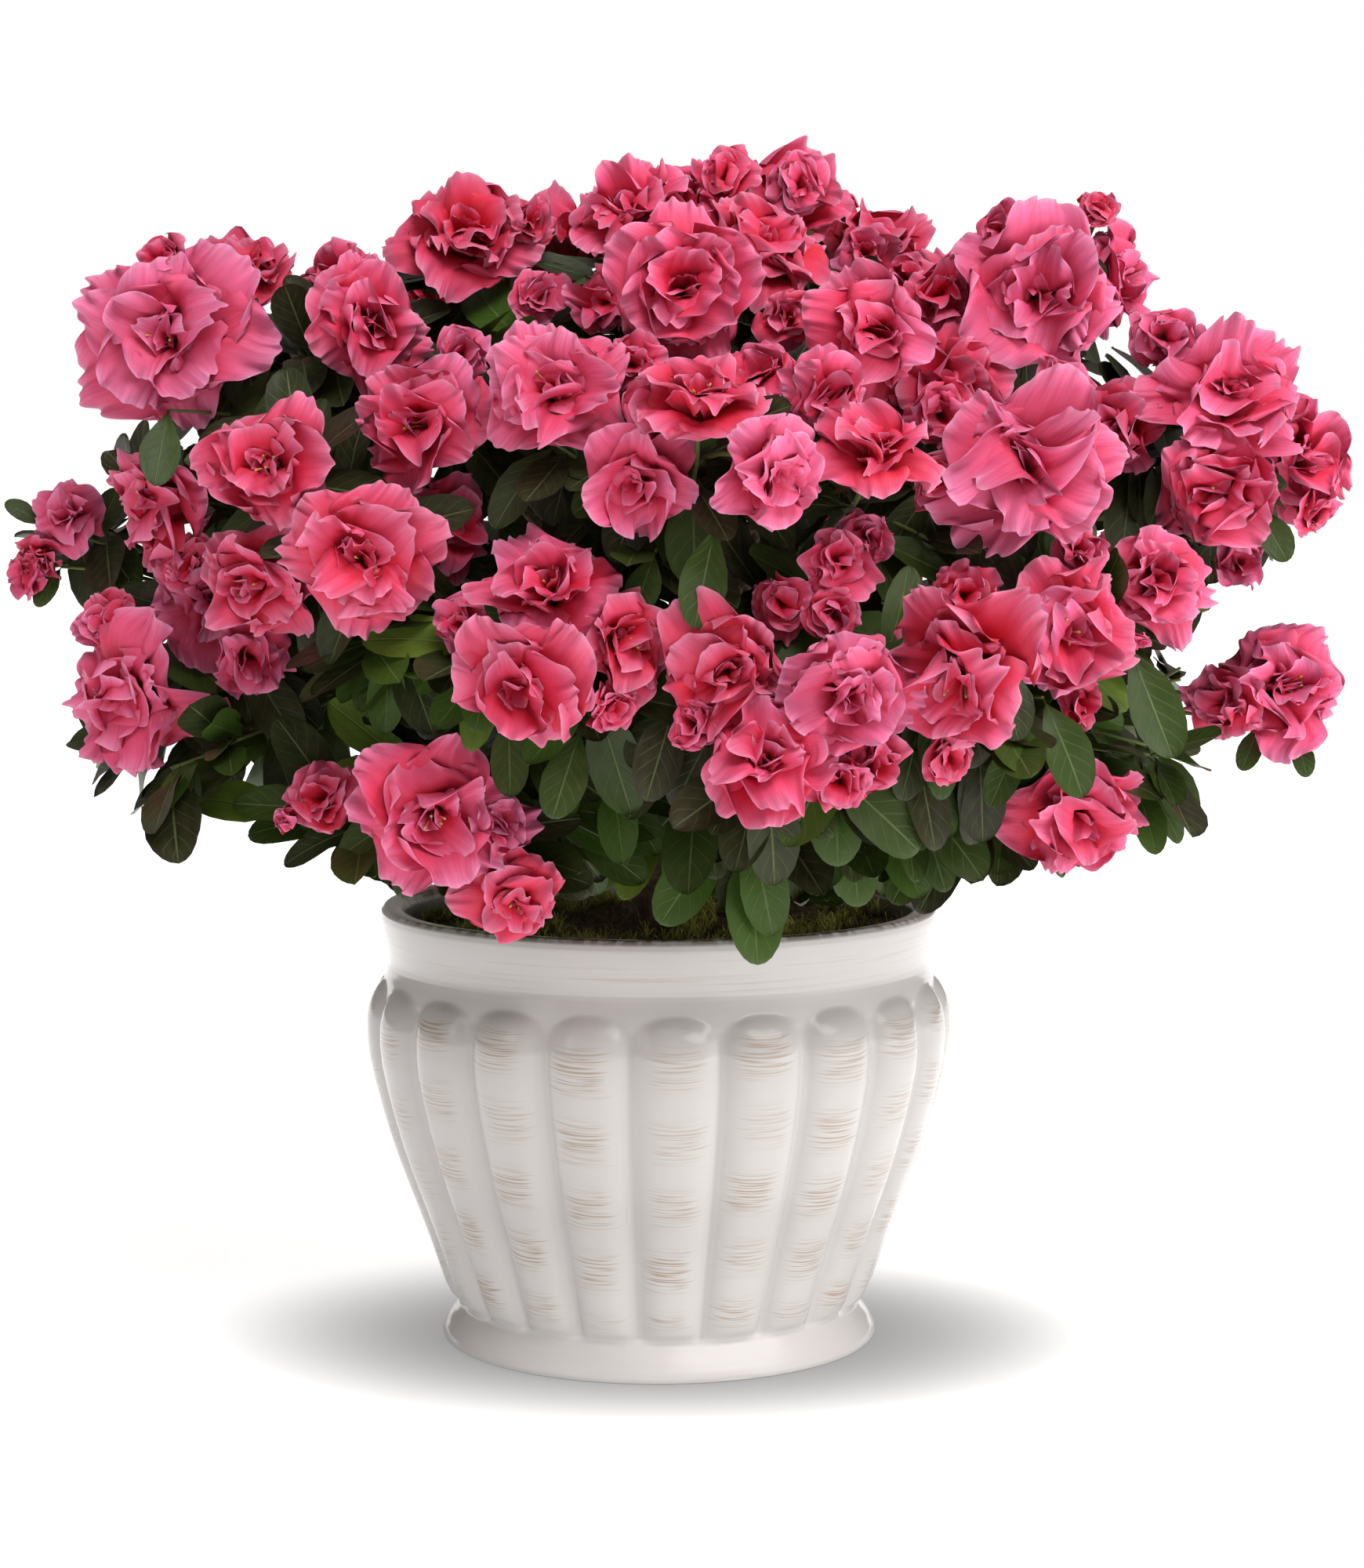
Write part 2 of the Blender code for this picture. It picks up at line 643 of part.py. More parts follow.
class Mass:
    """A spray on the plant: where its twigs fork, its own space, and its fitted blooms."""

    def __init__(self, plan, finish):
        self.plan = plan
        self.finish = finish
        self.dice = random.Random(f"azalea {plan.name}")
        middle = sum((bloom.place() for bloom in plan.blooms), Vector()) / len(plan.blooms)
        self.outward = (middle - CROWN_HEART).normalized()
        self.fork = middle - self.outward * FORK_DEPTH
        self.walls = []  # (normal, offset) of the planes that it stays behind
        self.bough = None
        self.fitted = []  # (shape of the bloom, path of its twig)
        self.fitted_trees = []  # (place of the bloom, its tree)
        self.obstacles = None  # tree of the wood and the planter
        self.pieces = working_collection(f"pieces_{plan.name}")
        self.placed = []  # (name of the twig, tree of the piece)

    def reach(self, normal):
        """How far the mass has to reach along a direction, for its blooms as discs and its fork."""
        reaches = [normal.dot(self.fork) + FORK_ROOM]
        for bloom in self.plan.blooms:
            across = math.sqrt(max(0.0, 1 - normal.dot(bloom.facing()) ** 2))
            share = BLOOM_REACH[0] * across + BLOOM_REACH[1]
            reaches.append(normal.dot(bloom.place()) + bloom.width * MM * share)
        return max(reaches)

    def part_from(self, other):
        """Sets the wall between two masses: square to the shortest line between their hulls."""
        ours = [self.fork, *(bloom.place() for bloom in self.plan.blooms)]
        theirs = [other.fork, *(bloom.place() for bloom in other.plan.blooms)]
        between = theirs[0] - ours[0]
        for _ in range(HULL_STEPS):
            near = max(ours, key=between.dot)
            far = min(theirs, key=between.dot)
            step = far - near - between
            if step.length < HULL_ACCURACY:
                break
            share = -between.dot(step) / step.length_squared
            between = between + step * min(max(share, 0.0), 1.0)
        if between.length < LEAST_PARTING:
            raise ValueError(f"the blooms of {self.plan.name} and {other.plan.name} are mixed")
        normal = between.normalized()
        offset = (self.reach(normal) - other.reach(-normal)) / 2
        self.walls.append((normal, offset - GAP))
        other.walls.append((-normal, -offset - GAP))

    def push_off(self, shape, place, pot):
        """Which way a bloom has to move to come clear, or None where it is."""
        over, normal = worst_wall(shape, self.walls)
        if over > 0:
            return -normal * (over + WALL_SLACK)
        tree = tree_of(beyond_fork(shape))
        if tree.overlap(pot):
            return UP * BLOOM_STEP
        for other_place, other in self.fitted_trees:
            if tree.overlap(other):
                return (place - other_place).normalized() * BLOOM_STEP
        return None

    def fit_blooms(self, pot):
        """Places each bloom as large as its space allows, moving it a little where that helps."""
        for bloom in self.plan.blooms:
            if not any(self.fit_bloom(bloom, share, pot) for share in BLOOM_SHARES):
                raise ValueError(f"no room for a bloom of {self.plan.name}: {bloom}")

    def fit_bloom(self, bloom, share, pot):
        place = bloom.place()
        while (place - bloom.place()).length <= BLOOM_SHIFT:
            shape, path = bloom_shape(self.fork, place, bloom.facing(), bloom.width * MM * share)
            push = self.push_off(shape, place, pot)
            if push is None:
                self.fitted_trees.append((place, tree_of(beyond_fork(shape))))
                self.fitted.append((shape, path))
                return True
            place = place + push
        return False

    def fits(self, shape):
        return worst_wall(shape, self.walls)[0] < 0 and not tree_of(shape).overlap(self.obstacles)

    def clear_of_pieces(self, shape, twig):
        tree = tree_of(shape)
        return not any(tree.overlap(other) for name, other in self.placed if name != twig)

    def add(self, shape, twig, piece=""):
        solid(f"{self.plan.name}_{twig}{piece}", shape, self.finish, self.pieces)
        self.placed.append((twig, tree_of(shape)))

    def add_leaf(self, root, axis, around, lean, twig):
        """Adds a leaf that leans out from its twig's axis, its upper side to the sky, if it has room."""
        first, second = side_axes(axis)
        out = first * math.cos(around) + second * math.sin(around)
        direction = axis * math.cos(lean) + out * math.sin(lean)
        sky = UP + self.outward * LEAF_SKY
        face = (sky - direction * sky.dot(direction)).normalized()
        length = self.dice.uniform(*LEAF_LENGTH)
        blade = leaf_shape(root + direction * LEAF_ROOT, direction, face, length - LEAF_ROOT)
        if not self.fits(blade) or not self.clear_of_pieces(blade, twig):
            return False
        self.add(leaf_shape(root - direction * LEAF_SUNK, direction, face, length), twig, "_leaf")
        return True

    def add_leaves(self, tip, axis, count, lean, twig):
        """Leaves set spirally back from a twig's tip."""
        around = self.dice.uniform(0, math.tau)
        for k in range(count):
            root = tip - axis * LEAF_SPACING * k
            for _ in range(LEAF_TRIES):
                around += GOLDEN_ANGLE
                if self.add_leaf(root, axis, around, lean * self.dice.uniform(0.85, 1.15), twig):
                    break

    def add_shoot(self, k):
        """A leafy shoot without a bloom, leaning out from the mass's axis."""
        first, second = side_axes(self.outward)
        around = self.dice.uniform(0, math.tau)
        for _ in range(LEAF_TRIES):
            around += GOLDEN_ANGLE
            lean = first * math.cos(around) + second * math.sin(around)
            direction = (self.outward + lean * self.dice.uniform(0.6, 1.1)).normalized()
            tip = self.fork + direction * self.dice.uniform(*SHOOT_LENGTH)
            path = [self.fork, self.fork.lerp(tip, 0.5), tip]
            twig = tube(path, taper(TWIG_RADII, 3), TWIG_SIDES)
            outer = tube([path[1], tip], TWIG_RADII, TWIG_SIDES)
            if self.fits(twig) and self.clear_of_pieces(outer, f"shoot_{k}"):
                self.add(twig, f"shoot_{k}")
                self.add_leaves(tip - direction * MM, direction, LEAVES_ON_SHOOT, LEAF_LEANS[1], f"shoot_{k}")
                return

    def grow(self, obstacles):
        """The mass's node: twigs, blooms and leaves fused to a stem that meets the bough's tip."""
        self.obstacles = obstacles
        foot = self.bough.points[-1] + self.bough.end_direction() * GAP
        node = solid(self.plan.name, stem_shape(foot, self.fork), self.finish)
        for k, (shape, path) in enumerate(self.fitted):
            self.add(shape, f"twig_{k}")
        for k, (shape, path) in enumerate(self.fitted):
            axis = (path[-1] - path[-2]).normalized()
            whorl = path[-2].lerp(path[-1], 0.5)
            self.add_leaves(whorl, axis, LEAVES_UNDER_BLOOM, LEAF_LEANS[0], f"twig_{k}")
        for k in range(self.plan.shoots):
            self.add_shoot(k)
        apply_boolean(node, "UNION", self.pieces)
        return node


def planter_envelope():
    """A closed form round the planter that the crown stays out of."""
    shoulder, rim = SHOULDER_RADIUS + CLEAR_OF_POT, RIM_RADIUS + CLEAR_OF_POT
    heights = (-CLEAR_OF_POT, REED_TOP - CLEAR_OF_POT, REED_TOP + 4 * MM, POT_HEIGHT + CLEAR_OF_POT)
    return turned(list(zip((shoulder, shoulder, rim, rim), heights)), REED_COUNT * 2)


def main():
    for old in list(bpy.data.objects):
        bpy.data.objects.remove(old)
    bark = material("bark", (0.16, 0.10, 0.06), 0.85)
    flowering = material("bloom_and_leaf", (0.80, 0.20, 0.36), 0.6)
    build_planter()
    build_root_ball()
    masses = [Mass(plan, flowering) for plan in (*FRONT_SPRAYS, *back_sprays())]
    for i, mass in enumerate(masses):
        for other in masses[:i]:
            mass.part_from(other)
    pot = tree_of(planter_envelope())
    for mass in masses:
        mass.fit_blooms(pot)
    trunk = trunk_limb()
    limbs = main_limbs(trunk)
    wood = [trunk, *limbs, *route_boughs(masses, trunk, limbs)]
    for i, limb in enumerate(wood):
        build_limb(limb, wood[:i], bark)
    obstacles = tree_of(together([planter_envelope(), *(limb.shape(CLEAR_OF_WOOD) for limb in wood)]))
    for mass in masses:
        mass.grow(obstacles)


main()
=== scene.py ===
"""The looks of a florist's azalea in full bloom, in its reeded and glazed planter.

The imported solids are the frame. Round them this script builds the glazed planter, the mossy root
ball, the bark of the trunk and boughs, and on every bough a spray of twigs, leaves and ruffled
double blooms. The sprays follow the solids' own planting plan, carried to finer twigs.
Lengths are in metres; the planting plan is in millimetres and degrees.
"""

import sys

import json
import logging
import math
import random
from collections.abc import Sequence
from dataclasses import dataclass, field
from enum import Enum

import bmesh
import bpy
import numpy as np
from mathutils import Matrix, Vector, noise
from mathutils.bvhtree import BVHTree

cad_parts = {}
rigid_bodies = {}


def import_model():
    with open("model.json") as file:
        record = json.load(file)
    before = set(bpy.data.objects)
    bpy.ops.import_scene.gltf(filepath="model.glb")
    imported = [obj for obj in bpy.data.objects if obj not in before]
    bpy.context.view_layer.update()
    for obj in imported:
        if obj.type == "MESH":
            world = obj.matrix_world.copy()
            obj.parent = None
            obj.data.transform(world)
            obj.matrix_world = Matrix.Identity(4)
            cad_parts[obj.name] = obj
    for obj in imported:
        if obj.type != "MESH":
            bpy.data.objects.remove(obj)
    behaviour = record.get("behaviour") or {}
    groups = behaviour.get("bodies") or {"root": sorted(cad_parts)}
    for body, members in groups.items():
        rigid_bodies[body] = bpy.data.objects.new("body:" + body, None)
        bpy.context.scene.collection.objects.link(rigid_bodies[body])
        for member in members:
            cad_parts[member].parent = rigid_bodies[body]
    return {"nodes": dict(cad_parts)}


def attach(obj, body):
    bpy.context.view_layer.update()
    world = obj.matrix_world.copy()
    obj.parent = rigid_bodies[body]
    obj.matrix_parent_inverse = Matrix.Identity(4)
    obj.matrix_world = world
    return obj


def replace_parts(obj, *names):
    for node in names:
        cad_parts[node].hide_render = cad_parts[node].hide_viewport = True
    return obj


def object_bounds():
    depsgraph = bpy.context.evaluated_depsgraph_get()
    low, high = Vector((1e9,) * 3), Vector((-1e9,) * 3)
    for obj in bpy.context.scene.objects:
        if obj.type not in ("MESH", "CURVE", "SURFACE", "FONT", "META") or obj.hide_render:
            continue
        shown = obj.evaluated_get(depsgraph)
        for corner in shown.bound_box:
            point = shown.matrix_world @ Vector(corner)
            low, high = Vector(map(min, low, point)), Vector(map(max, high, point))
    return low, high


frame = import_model()
CAD_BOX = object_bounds()

MM = 0.001
GOLDEN_ANGLE = math.radians(137.508)
UP = Vector((0, 0, 1))
SURFACE_MAP = "OFBake"
WELD_DISTANCE = 0.01 * MM
STRIP_EDGE = 0.001  # the share of a tint's strip that is left free at each side
INSIDE_STRIP = 1 - 2 * STRIP_EDGE
log = logging.getLogger("azalea")


# ---- the planting plan, as in the solids ---------------------------------------------------------
CROWN_HEART = Vector((0, 0, 200)) * MM
FORK_DEPTH = 48 * MM
TRUNK_AND_LIMBS = ("trunk", "limb_leader", "limb_1", "limb_2", "limb_3", "limb_4")
BUD_WIDTH = 17  # flowers narrower than this, in millimetres, are buds
CUPPED_WIDTH = 31  # and those narrower than this are half open


class Form(Enum):
    """How far a flower has opened."""

    OPEN = "open"
    CUPPED = "cupped"
    BUD = "bud"


@dataclass(frozen=True)
class Bloom:
    """One ruffled flower: where its middle is, in millimetres, its width, and how it looks out."""

    across: float
    toward: float
    height: float
    width: float
    turn: float
    tilt: float

    def place(self) -> Vector:
        """The middle of the flower, in metres."""
        return Vector((self.across, -self.toward, self.height)) * MM

    def facing(self) -> Vector:
        """The direction that the flower looks in."""
        turn, tilt = math.radians(self.turn), math.radians(self.tilt)
        level = math.cos(tilt)
        return Vector((math.sin(turn) * level, -math.cos(turn) * level, math.sin(tilt)))

    def form(self) -> Form:
        """Small flowers are buds, or only half open."""
        if self.width < BUD_WIDTH:
            return Form.BUD
        return Form.CUPPED if self.width < CUPPED_WIDTH else Form.OPEN


@dataclass(frozen=True)
class Spray:
    """One mass of the crown: its leafy shoots, its main blooms and the small ones between them."""

    name: str
    shoots: int
    blooms: tuple[Bloom, ...]
    small: tuple[Bloom, ...] = ()
    leafy: tuple[Vector, ...] = ()  # where the tips of its low leafy shoots are
    hanging: tuple[tuple[Vector, Vector], ...] = ()  # from where to where its hanging leaves reach

    def all_blooms(self) -> tuple[Bloom, ...]:
        """The main blooms, then the small ones."""
        return self.blooms + self.small

    def middle(self) -> Vector:
        """The middle of the main blooms."""
        return sum((bloom.place() for bloom in self.blooms), Vector()) / len(self.blooms)

    def outward(self) -> Vector:
        """The direction that the spray grows in, away from the heart of the crown."""
        return (self.middle() - CROWN_HEART).normalized()

    def fork(self) -> Vector:
        """The knot that the spray's twigs fork from."""
        return self.middle() - self.outward() * FORK_DEPTH


def along_plan(across: float, toward: float, height: float) -> Vector:
    """A place of the plan, in metres."""
    return Vector((across, -toward, height)) * MM


def spray(
    name: str, shoots: int, *blooms: tuple, small: tuple = (), leafy: tuple = (), hanging: tuple = ()
) -> Spray:
    """Lays out one spray of the plan.

    Args:
        name: The node that the spray stands for.
        shoots: How many leafy shoots it has.
        *blooms: Across, toward, height, width, turn and tilt of each main bloom.
        small: The same for the small blooms and buds between them.
        leafy: Across, toward and height of the tips of low leafy shoots.
        hanging: The same of the two ends of each leaf that hangs in a set place.

    Returns:
        The spray.
    """
    return Spray(
        name,
        shoots,
        blooms=tuple(Bloom(*one) for one in blooms),
        small=tuple(Bloom(*one) for one in small),
        leafy=tuple(along_plan(*tip) for tip in leafy),
        hanging=tuple((along_plan(*root), along_plan(*tip)) for root, tip in hanging),
    )


FRONT_SPRAYS = (
    spray(
        "left_shoulder", 2,
        (-145, 60, 319, 57, -15, 0), (-128, 10, 341, 33, 10, 45), (-104, 26, 330, 30, -30, 20),
        small=((-127, 58, 313, 14, 0, 10), (-148, 57, 341, 24, -20, 20)),
        hanging=(((-146, 66, 297), (-148, 84, 276)),),
    ),
    spray(
        "left_peak", 2,
        (-85, 75, 322, 45, 20, 5), (-57, 40, 351, 50, 0, 35), (-66, 108, 293, 45, -20, 5),
        small=(
            (-95, 45, 338, 27, -30, 30), (-36, 62, 331, 24, 10, 20), (-57, 92, 313, 24, 0, 0),
            (-39, 45, 354, 20, 20, 20),
        ),
    ),
    spray(
        "left_breast", 2,
        (-110, 120, 281, 42, -10, 10), (-149, 60, 269, 42, -50, 0),
        small=((-139, 66, 250, 26, -10, 10),),
    ),
    spray(
        "left_sprig", 1,
        (-184, 16, 263, 28, -15, 20), (-198, 14, 247, 20, -60, -10),
        small=((-194, 16, 252, 22, -30, -40),),
        hanging=(
            ((-193, 12, 261), (-205, 14, 269)), ((-178, 10, 255), (-171, 12, 273)),
            ((-188, 12, 248), (-196, 16, 236)),
        ),
    ),
    spray(
        "left_front", 2,
        (-83, 135, 255, 46, 0, -10), (-61, 98, 263, 32, 40, 0), (-114, 104, 247, 36, -30, -10),
        small=((-55, 128, 237, 22, -20, 10),),
    ),
    spray(
        "left_low", 3,
        (-158, 70, 212, 50, -20, -5), (-134, 62, 240, 42, 10, 20),
        small=((-121, 80, 224, 30, 20, 0), (-165, 62, 233, 26, -20, 20)),
        leafy=((-160, 62, 196), (-146, 72, 190), (-128, 78, 198), (-170, 40, 204)),
    ),
    spray(
        "left_foot", 3,
        (-64, 120, 182, 46, 5, -10), (-97, 96, 184, 27, -10, 20), (-41, 106, 156, 31, 10, -30),
        small=((-108, 98, 178, 15, -40, 0), (-47, 112, 178, 28, 40, 20)),
        leafy=((-108, 84, 178), (-88, 88, 174), (-26, 92, 176), (-12, 96, 190), (-48, 78, 174)),
    ),
    spray(
        "front_left", 3,
        (-30, 136, 248, 42, 0, 35), (-36, 150, 222, 43, -10, -20), (-8, 138, 233, 34, 45, 0),
        small=((-13, 142, 215, 22, 20, -10),),
        hanging=(((-21, 128, 207), (-29, 140, 183)), ((-42, 126, 212), (-41, 136, 188))),
    ),
    spray(
        "crest", 1,
        (8, 100, 331, 50, 0, 5), (-8, 60, 355, 40, -20, 40), (32, 72, 346, 44, 30, 25),
        small=((-15, 68, 329, 28, -30, 0), (8, 52, 360, 32, 0, 50), (20, 55, 366, 24, 0, 20)),
    ),
    spray(
        "top", 1,
        (40, 16, 362, 43, 10, 40), (68, -12, 350, 38, 20, 45),
        small=((78, 30, 336, 27, 10, 30), (43, 28, 366, 24, 0, 10), (63, 46, 344, 26, 0, 0)),
    ),
    spray(
        "front_high", 2,
        (12, 150, 299, 34, 0, 60), (31, 154, 281, 38, 40, -15), (-5, 138, 277, 36, -10, -20),
        (-28, 122, 302, 46, -10, 15),
        small=(
            (48, 128, 301, 31, 20, 0), (30, 112, 306, 30, -20, 20), (-7, 112, 310, 24, -10, 10),
            (-1, 130, 297, 28, 0, 0), (38, 98, 324, 24, 10, 0),
        ),
        hanging=(((17, 136, 265), (11, 148, 237)), ((0, 126, 257), (-6, 138, 240))),
    ),
    spray(
        "right_heart", 3,
        (62, 105, 319, 44, 20, 0), (62, 142, 286, 32, 20, 45), (105, 120, 281, 50, 0, 5),
        small=(
            (81, 112, 277, 25, -10, 0), (85, 78, 303, 40, -10, 15), (85, 62, 331, 28, 10, 10),
            (60, 118, 261, 20, 0, 0), (83, 96, 296, 28, 10, 10),
        ),
    ),
    spray(
        "right_peak", 2,
        (113, 70, 331, 53, 0, 5), (140, 30, 338, 38, 50, 10), (94, 22, 333, 36, -20, 25),
        small=((103, 62, 349, 22, -20, 10), (134, 40, 357, 18, 10, 40), (118, 92, 304, 24, 0, 0)),
    ),
    spray(
        "right_shoulder", 2,
        (172, 50, 300, 51, 10, 25), (168, 62, 273, 45, -10, -15), (199, 20, 282, 41, 32, 0),
        small=(
            (140, 50, 292, 36, -30, 0), (154, 44, 319, 24, -10, 10), (203, 28, 267, 26, 50, -20),
            (178, 42, 250, 25, 10, 0),
        ),
        hanging=(((182, 44, 269), (191, 58, 253)),),
    ),
    spray(
        "right_low", 4,
        (146, 88, 247, 41, 20, 5), (124, 100, 180, 44, 10, -35),
        leafy=((94, 82, 178), (108, 74, 182), (86, 66, 174), (150, 76, 194), (120, 60, 186)),
        hanging=(
            ((143, 78, 188), (148, 92, 167)), ((147, 72, 197), (161, 84, 177)),
            ((111, 118, 215), (123, 132, 190)), ((138, 98, 229), (150, 112, 197)),
        ),
    ),
    spray(
        "right_sprig", 2,
        (197, 12, 210, 43, 20, 15),
        small=((179, 18, 206, 30, -40, -5),),
        hanging=(((191, 8, 198), (185, 14, 184)), ((202, 8, 196), (206, 14, 182))),
    ),
    spray(
        "right_front", 3,
        (86, 146, 224, 51, -30, -15), (117, 120, 234, 44, 15, -5),
        small=(
            (139, 104, 231, 12, 30, -20), (88, 118, 244, 26, 0, 10), (121, 112, 257, 22, 10, 20),
            (122, 104, 213, 20, 20, 0),
        ),
        hanging=(((106, 112, 205), (96, 122, 184)),),
    ),
    spray(
        "front_right", 4,
        (54, 150, 219, 47, 10, -10), (20, 142, 225, 39, -10, 0), (31, 150, 201, 40, 0, 15),
        small=(
            (52, 128, 253, 30, 10, 15), (61, 136, 199, 25, 25, -10), (52, 144, 193, 24, 10, -10),
            (11, 142, 209, 22, -30, 0), (36, 128, 243, 24, 10, 0), (50, 132, 239, 22, 10, 0),
            (83, 132, 200, 20, 20, -10),
        ),
        leafy=(
            (12, 98, 186), (34, 98, 178), (56, 96, 180), (0, 84, 172), (22, 76, 172), (76, 90, 184),
            (40, 64, 176), (64, 74, 174), (-14, 70, 176),
        ),
        hanging=(
            ((27, 96, 174), (30, 108, 136)), ((27, 99, 175), (35, 113, 147)),
            ((20, 96, 174), (1, 106, 148)), ((56, 92, 180), (60, 100, 152)),
            ((66, 90, 182), (78, 96, 154)), ((44, 94, 186), (47, 106, 156)),
        ),
    ),
)


@dataclass(frozen=True)
class BackTier:
    """A row of sprays round the far side of the crown, each a ring of blooms on its outward axis."""

    name: str
    count: int
    span: float
    reach: float
    height: float
    blooms: int = 4
    bloom_width: float = 50
    smaller: float = 2  # each next bloom, than the one before it
    ring: float = 33
    sink: float = 0.12  # how far behind its middle bloom a ring lies, as a share of its radius
    splay: float = 2.4  # how much less than its radius a ring's blooms look out
    shoots: int = 2

    def sprays(self) -> list[Spray]:
        """The tier's sprays, worked out as in the solids."""
        made = []
        for i in range(self.count):
            bearing = math.radians(180 + self.span * (i / max(self.count - 1, 1) - 0.5))
            middle = Vector((
                math.sin(bearing) * self.reach, -math.cos(bearing) * self.reach, self.height
            ))
            outward = (middle - CROWN_HEART / MM).normalized()
            first, second = side_axes(outward)
            blooms = []
            for k in range(self.blooms):
                around = math.tau * k / (self.blooms - 1) + bearing
                ring = swung(first, second, around) * (self.ring if k else 0)
                place = middle + ring - outward * (self.sink * ring.length)
                facing = (outward + ring / (self.splay * self.ring)).normalized()
                turn = math.degrees(math.atan2(facing.x, -facing.y))
                tilt = math.degrees(math.asin(facing.z))
                width = self.bloom_width - self.smaller * k
                blooms.append((place.x, -place.y, place.z, width, turn, tilt))
            made.append(spray(f"{self.name}_{i + 1}", self.shoots, *blooms))
        return made


BACK_TIERS = (
    BackTier("back_top", 1, 0, 40, 352, blooms=3),
    BackTier("back_high", 3, 116, 104, 318),
    BackTier("back_low", 4, 138, 150, 236),
)


# ---- small tools ---------------------------------------------------------------------------------
def side_axes(direction: Vector) -> tuple[Vector, Vector]:
    """Two unit vectors square to a direction and to each other."""
    upright = abs(direction.z) >= 0.95
    first = direction.cross(Vector((0, 1, 0)) if upright else UP).normalized()
    return first, direction.cross(first).normalized()


def swung(first: Vector, second: Vector, angle: float) -> Vector:
    """The direction at an angle from one axis towards another that is square to it."""
    return first * math.cos(angle) + second * math.sin(angle)


def bend(start: Vector, control: Vector, end: Vector, count: int) -> list[Vector]:
    """Points along a quadratic curve."""
    steps = [i / (count - 1) for i in range(count)]
    return [start * (1 - t) ** 2 + control * 2 * t * (1 - t) + end * t * t for t in steps]


def smooth_step(low: float, high: float, value: np.ndarray) -> np.ndarray:
    """Rises smoothly from 0 at low to 1 at high."""
    t = np.clip((value - low) / (high - low), 0, 1)
    return t * t * (3 - 2 * t)


def mend(mesh: bpy.types.Mesh, weld: bool = True, outward: bool = True) -> None:
    """Merges a mesh's coincident points and turns its faces outward, or does only one of them."""
    shell = bmesh.new()
    shell.from_mesh(mesh)
    if weld:
        bmesh.ops.remove_doubles(shell, verts=shell.verts, dist=WELD_DISTANCE)
    if outward:
        bmesh.ops.recalc_face_normals(shell, faces=shell.faces)
    shell.to_mesh(mesh)
    shell.free()


def add_object(name: str, data: bpy.types.ID) -> bpy.types.Object:
    """Puts a new object in the scene."""
    made = bpy.data.objects.new(name, data)
    bpy.context.scene.collection.objects.link(made)
    return made


def modified(holder: bpy.types.Object) -> bpy.types.Mesh:
    """The mesh that an object's modifiers make of it. The object itself goes."""
    graph = bpy.context.evaluated_depsgraph_get()
    made = bpy.data.meshes.new_from_object(holder.evaluated_get(graph))
    bpy.data.objects.remove(holder)
    return made


class PatchBook:
    """Collects grids of points, each a sheet or a tube, into one mesh with a surface map."""

    def __init__(self) -> None:
        """Starts an empty book."""
        self.points: list[np.ndarray] = []
        self.faces: list[np.ndarray] = []
        self.places: list[np.ndarray] = []
        self.count = 0

    def add(self, grid: np.ndarray, places: np.ndarray, wrap: bool = False) -> None:
        """Adds a grid of quads.

        Args:
            grid: Points by row and column, (rows, columns, 3).
            places: Surface map places, with one column more than the grid if it wraps.
            wrap: Whether the last column meets the first.
        """
        rows, columns = grid.shape[:2]
        row, column = np.meshgrid(np.arange(rows - 1), np.arange(columns - (not wrap)), indexing="ij")
        row, column = row.ravel(), column.ravel()
        corners = ((row, column), (row, column + 1), (row + 1, column + 1), (row + 1, column))
        numbers = [r * columns + c % columns for r, c in corners]
        self.faces.append(np.stack(numbers, 1) + self.count)
        self.places.append(np.stack([places[r, c] for r, c in corners], 1))
        self.points.append(grid.reshape(-1, 3))
        self.count += rows * columns

    def mesh(self, name: str, weld: bool = False) -> bpy.types.Mesh:
        """The collected mesh, shaded smooth.

        Args:
            name: The mesh's name.
            weld: Whether coincident points are merged, which closes a tube's ends.

        Returns:
            The mesh.
        """
        points = np.concatenate(self.points).astype(np.float32)
        faces = np.concatenate(self.faces).astype(np.int32)
        places = np.concatenate(self.places).astype(np.float32)
        made = bpy.data.meshes.new(name)
        made.vertices.add(len(points))
        made.vertices.foreach_set("co", points.ravel())
        made.loops.add(faces.size)
        made.loops.foreach_set("vertex_index", faces.ravel())
        made.polygons.add(len(faces))
        made.polygons.foreach_set("loop_start", np.arange(0, faces.size, 4, dtype=np.int32))
        made.uv_layers.new(name=SURFACE_MAP).uv.foreach_set("vector", places.ravel())
        made.update(calc_edges=True)
        if weld:
            mend(made, outward=False)
        made.shade_smooth()
        return made


def show(
    name: str, mesh: bpy.types.Mesh, finish: bpy.types.Material | None
) -> bpy.types.Object:
    """Puts a mesh in the scene as a piece that rides on the plant.

    Args:
        name: The piece's name.
        mesh: Its mesh, in the frame's own place.
        finish: Its material, or None if the mesh has its own already.

    Returns:
        The object.
    """
    mesh.name = name
    if not mesh.materials:
        mesh.materials.append(finish)
    piece = add_object(name, mesh)
    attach(piece, "root")
    mesh.calc_loop_triangles()
    log.info("%s: %d triangles", name, len(mesh.loop_triangles))
    return piece


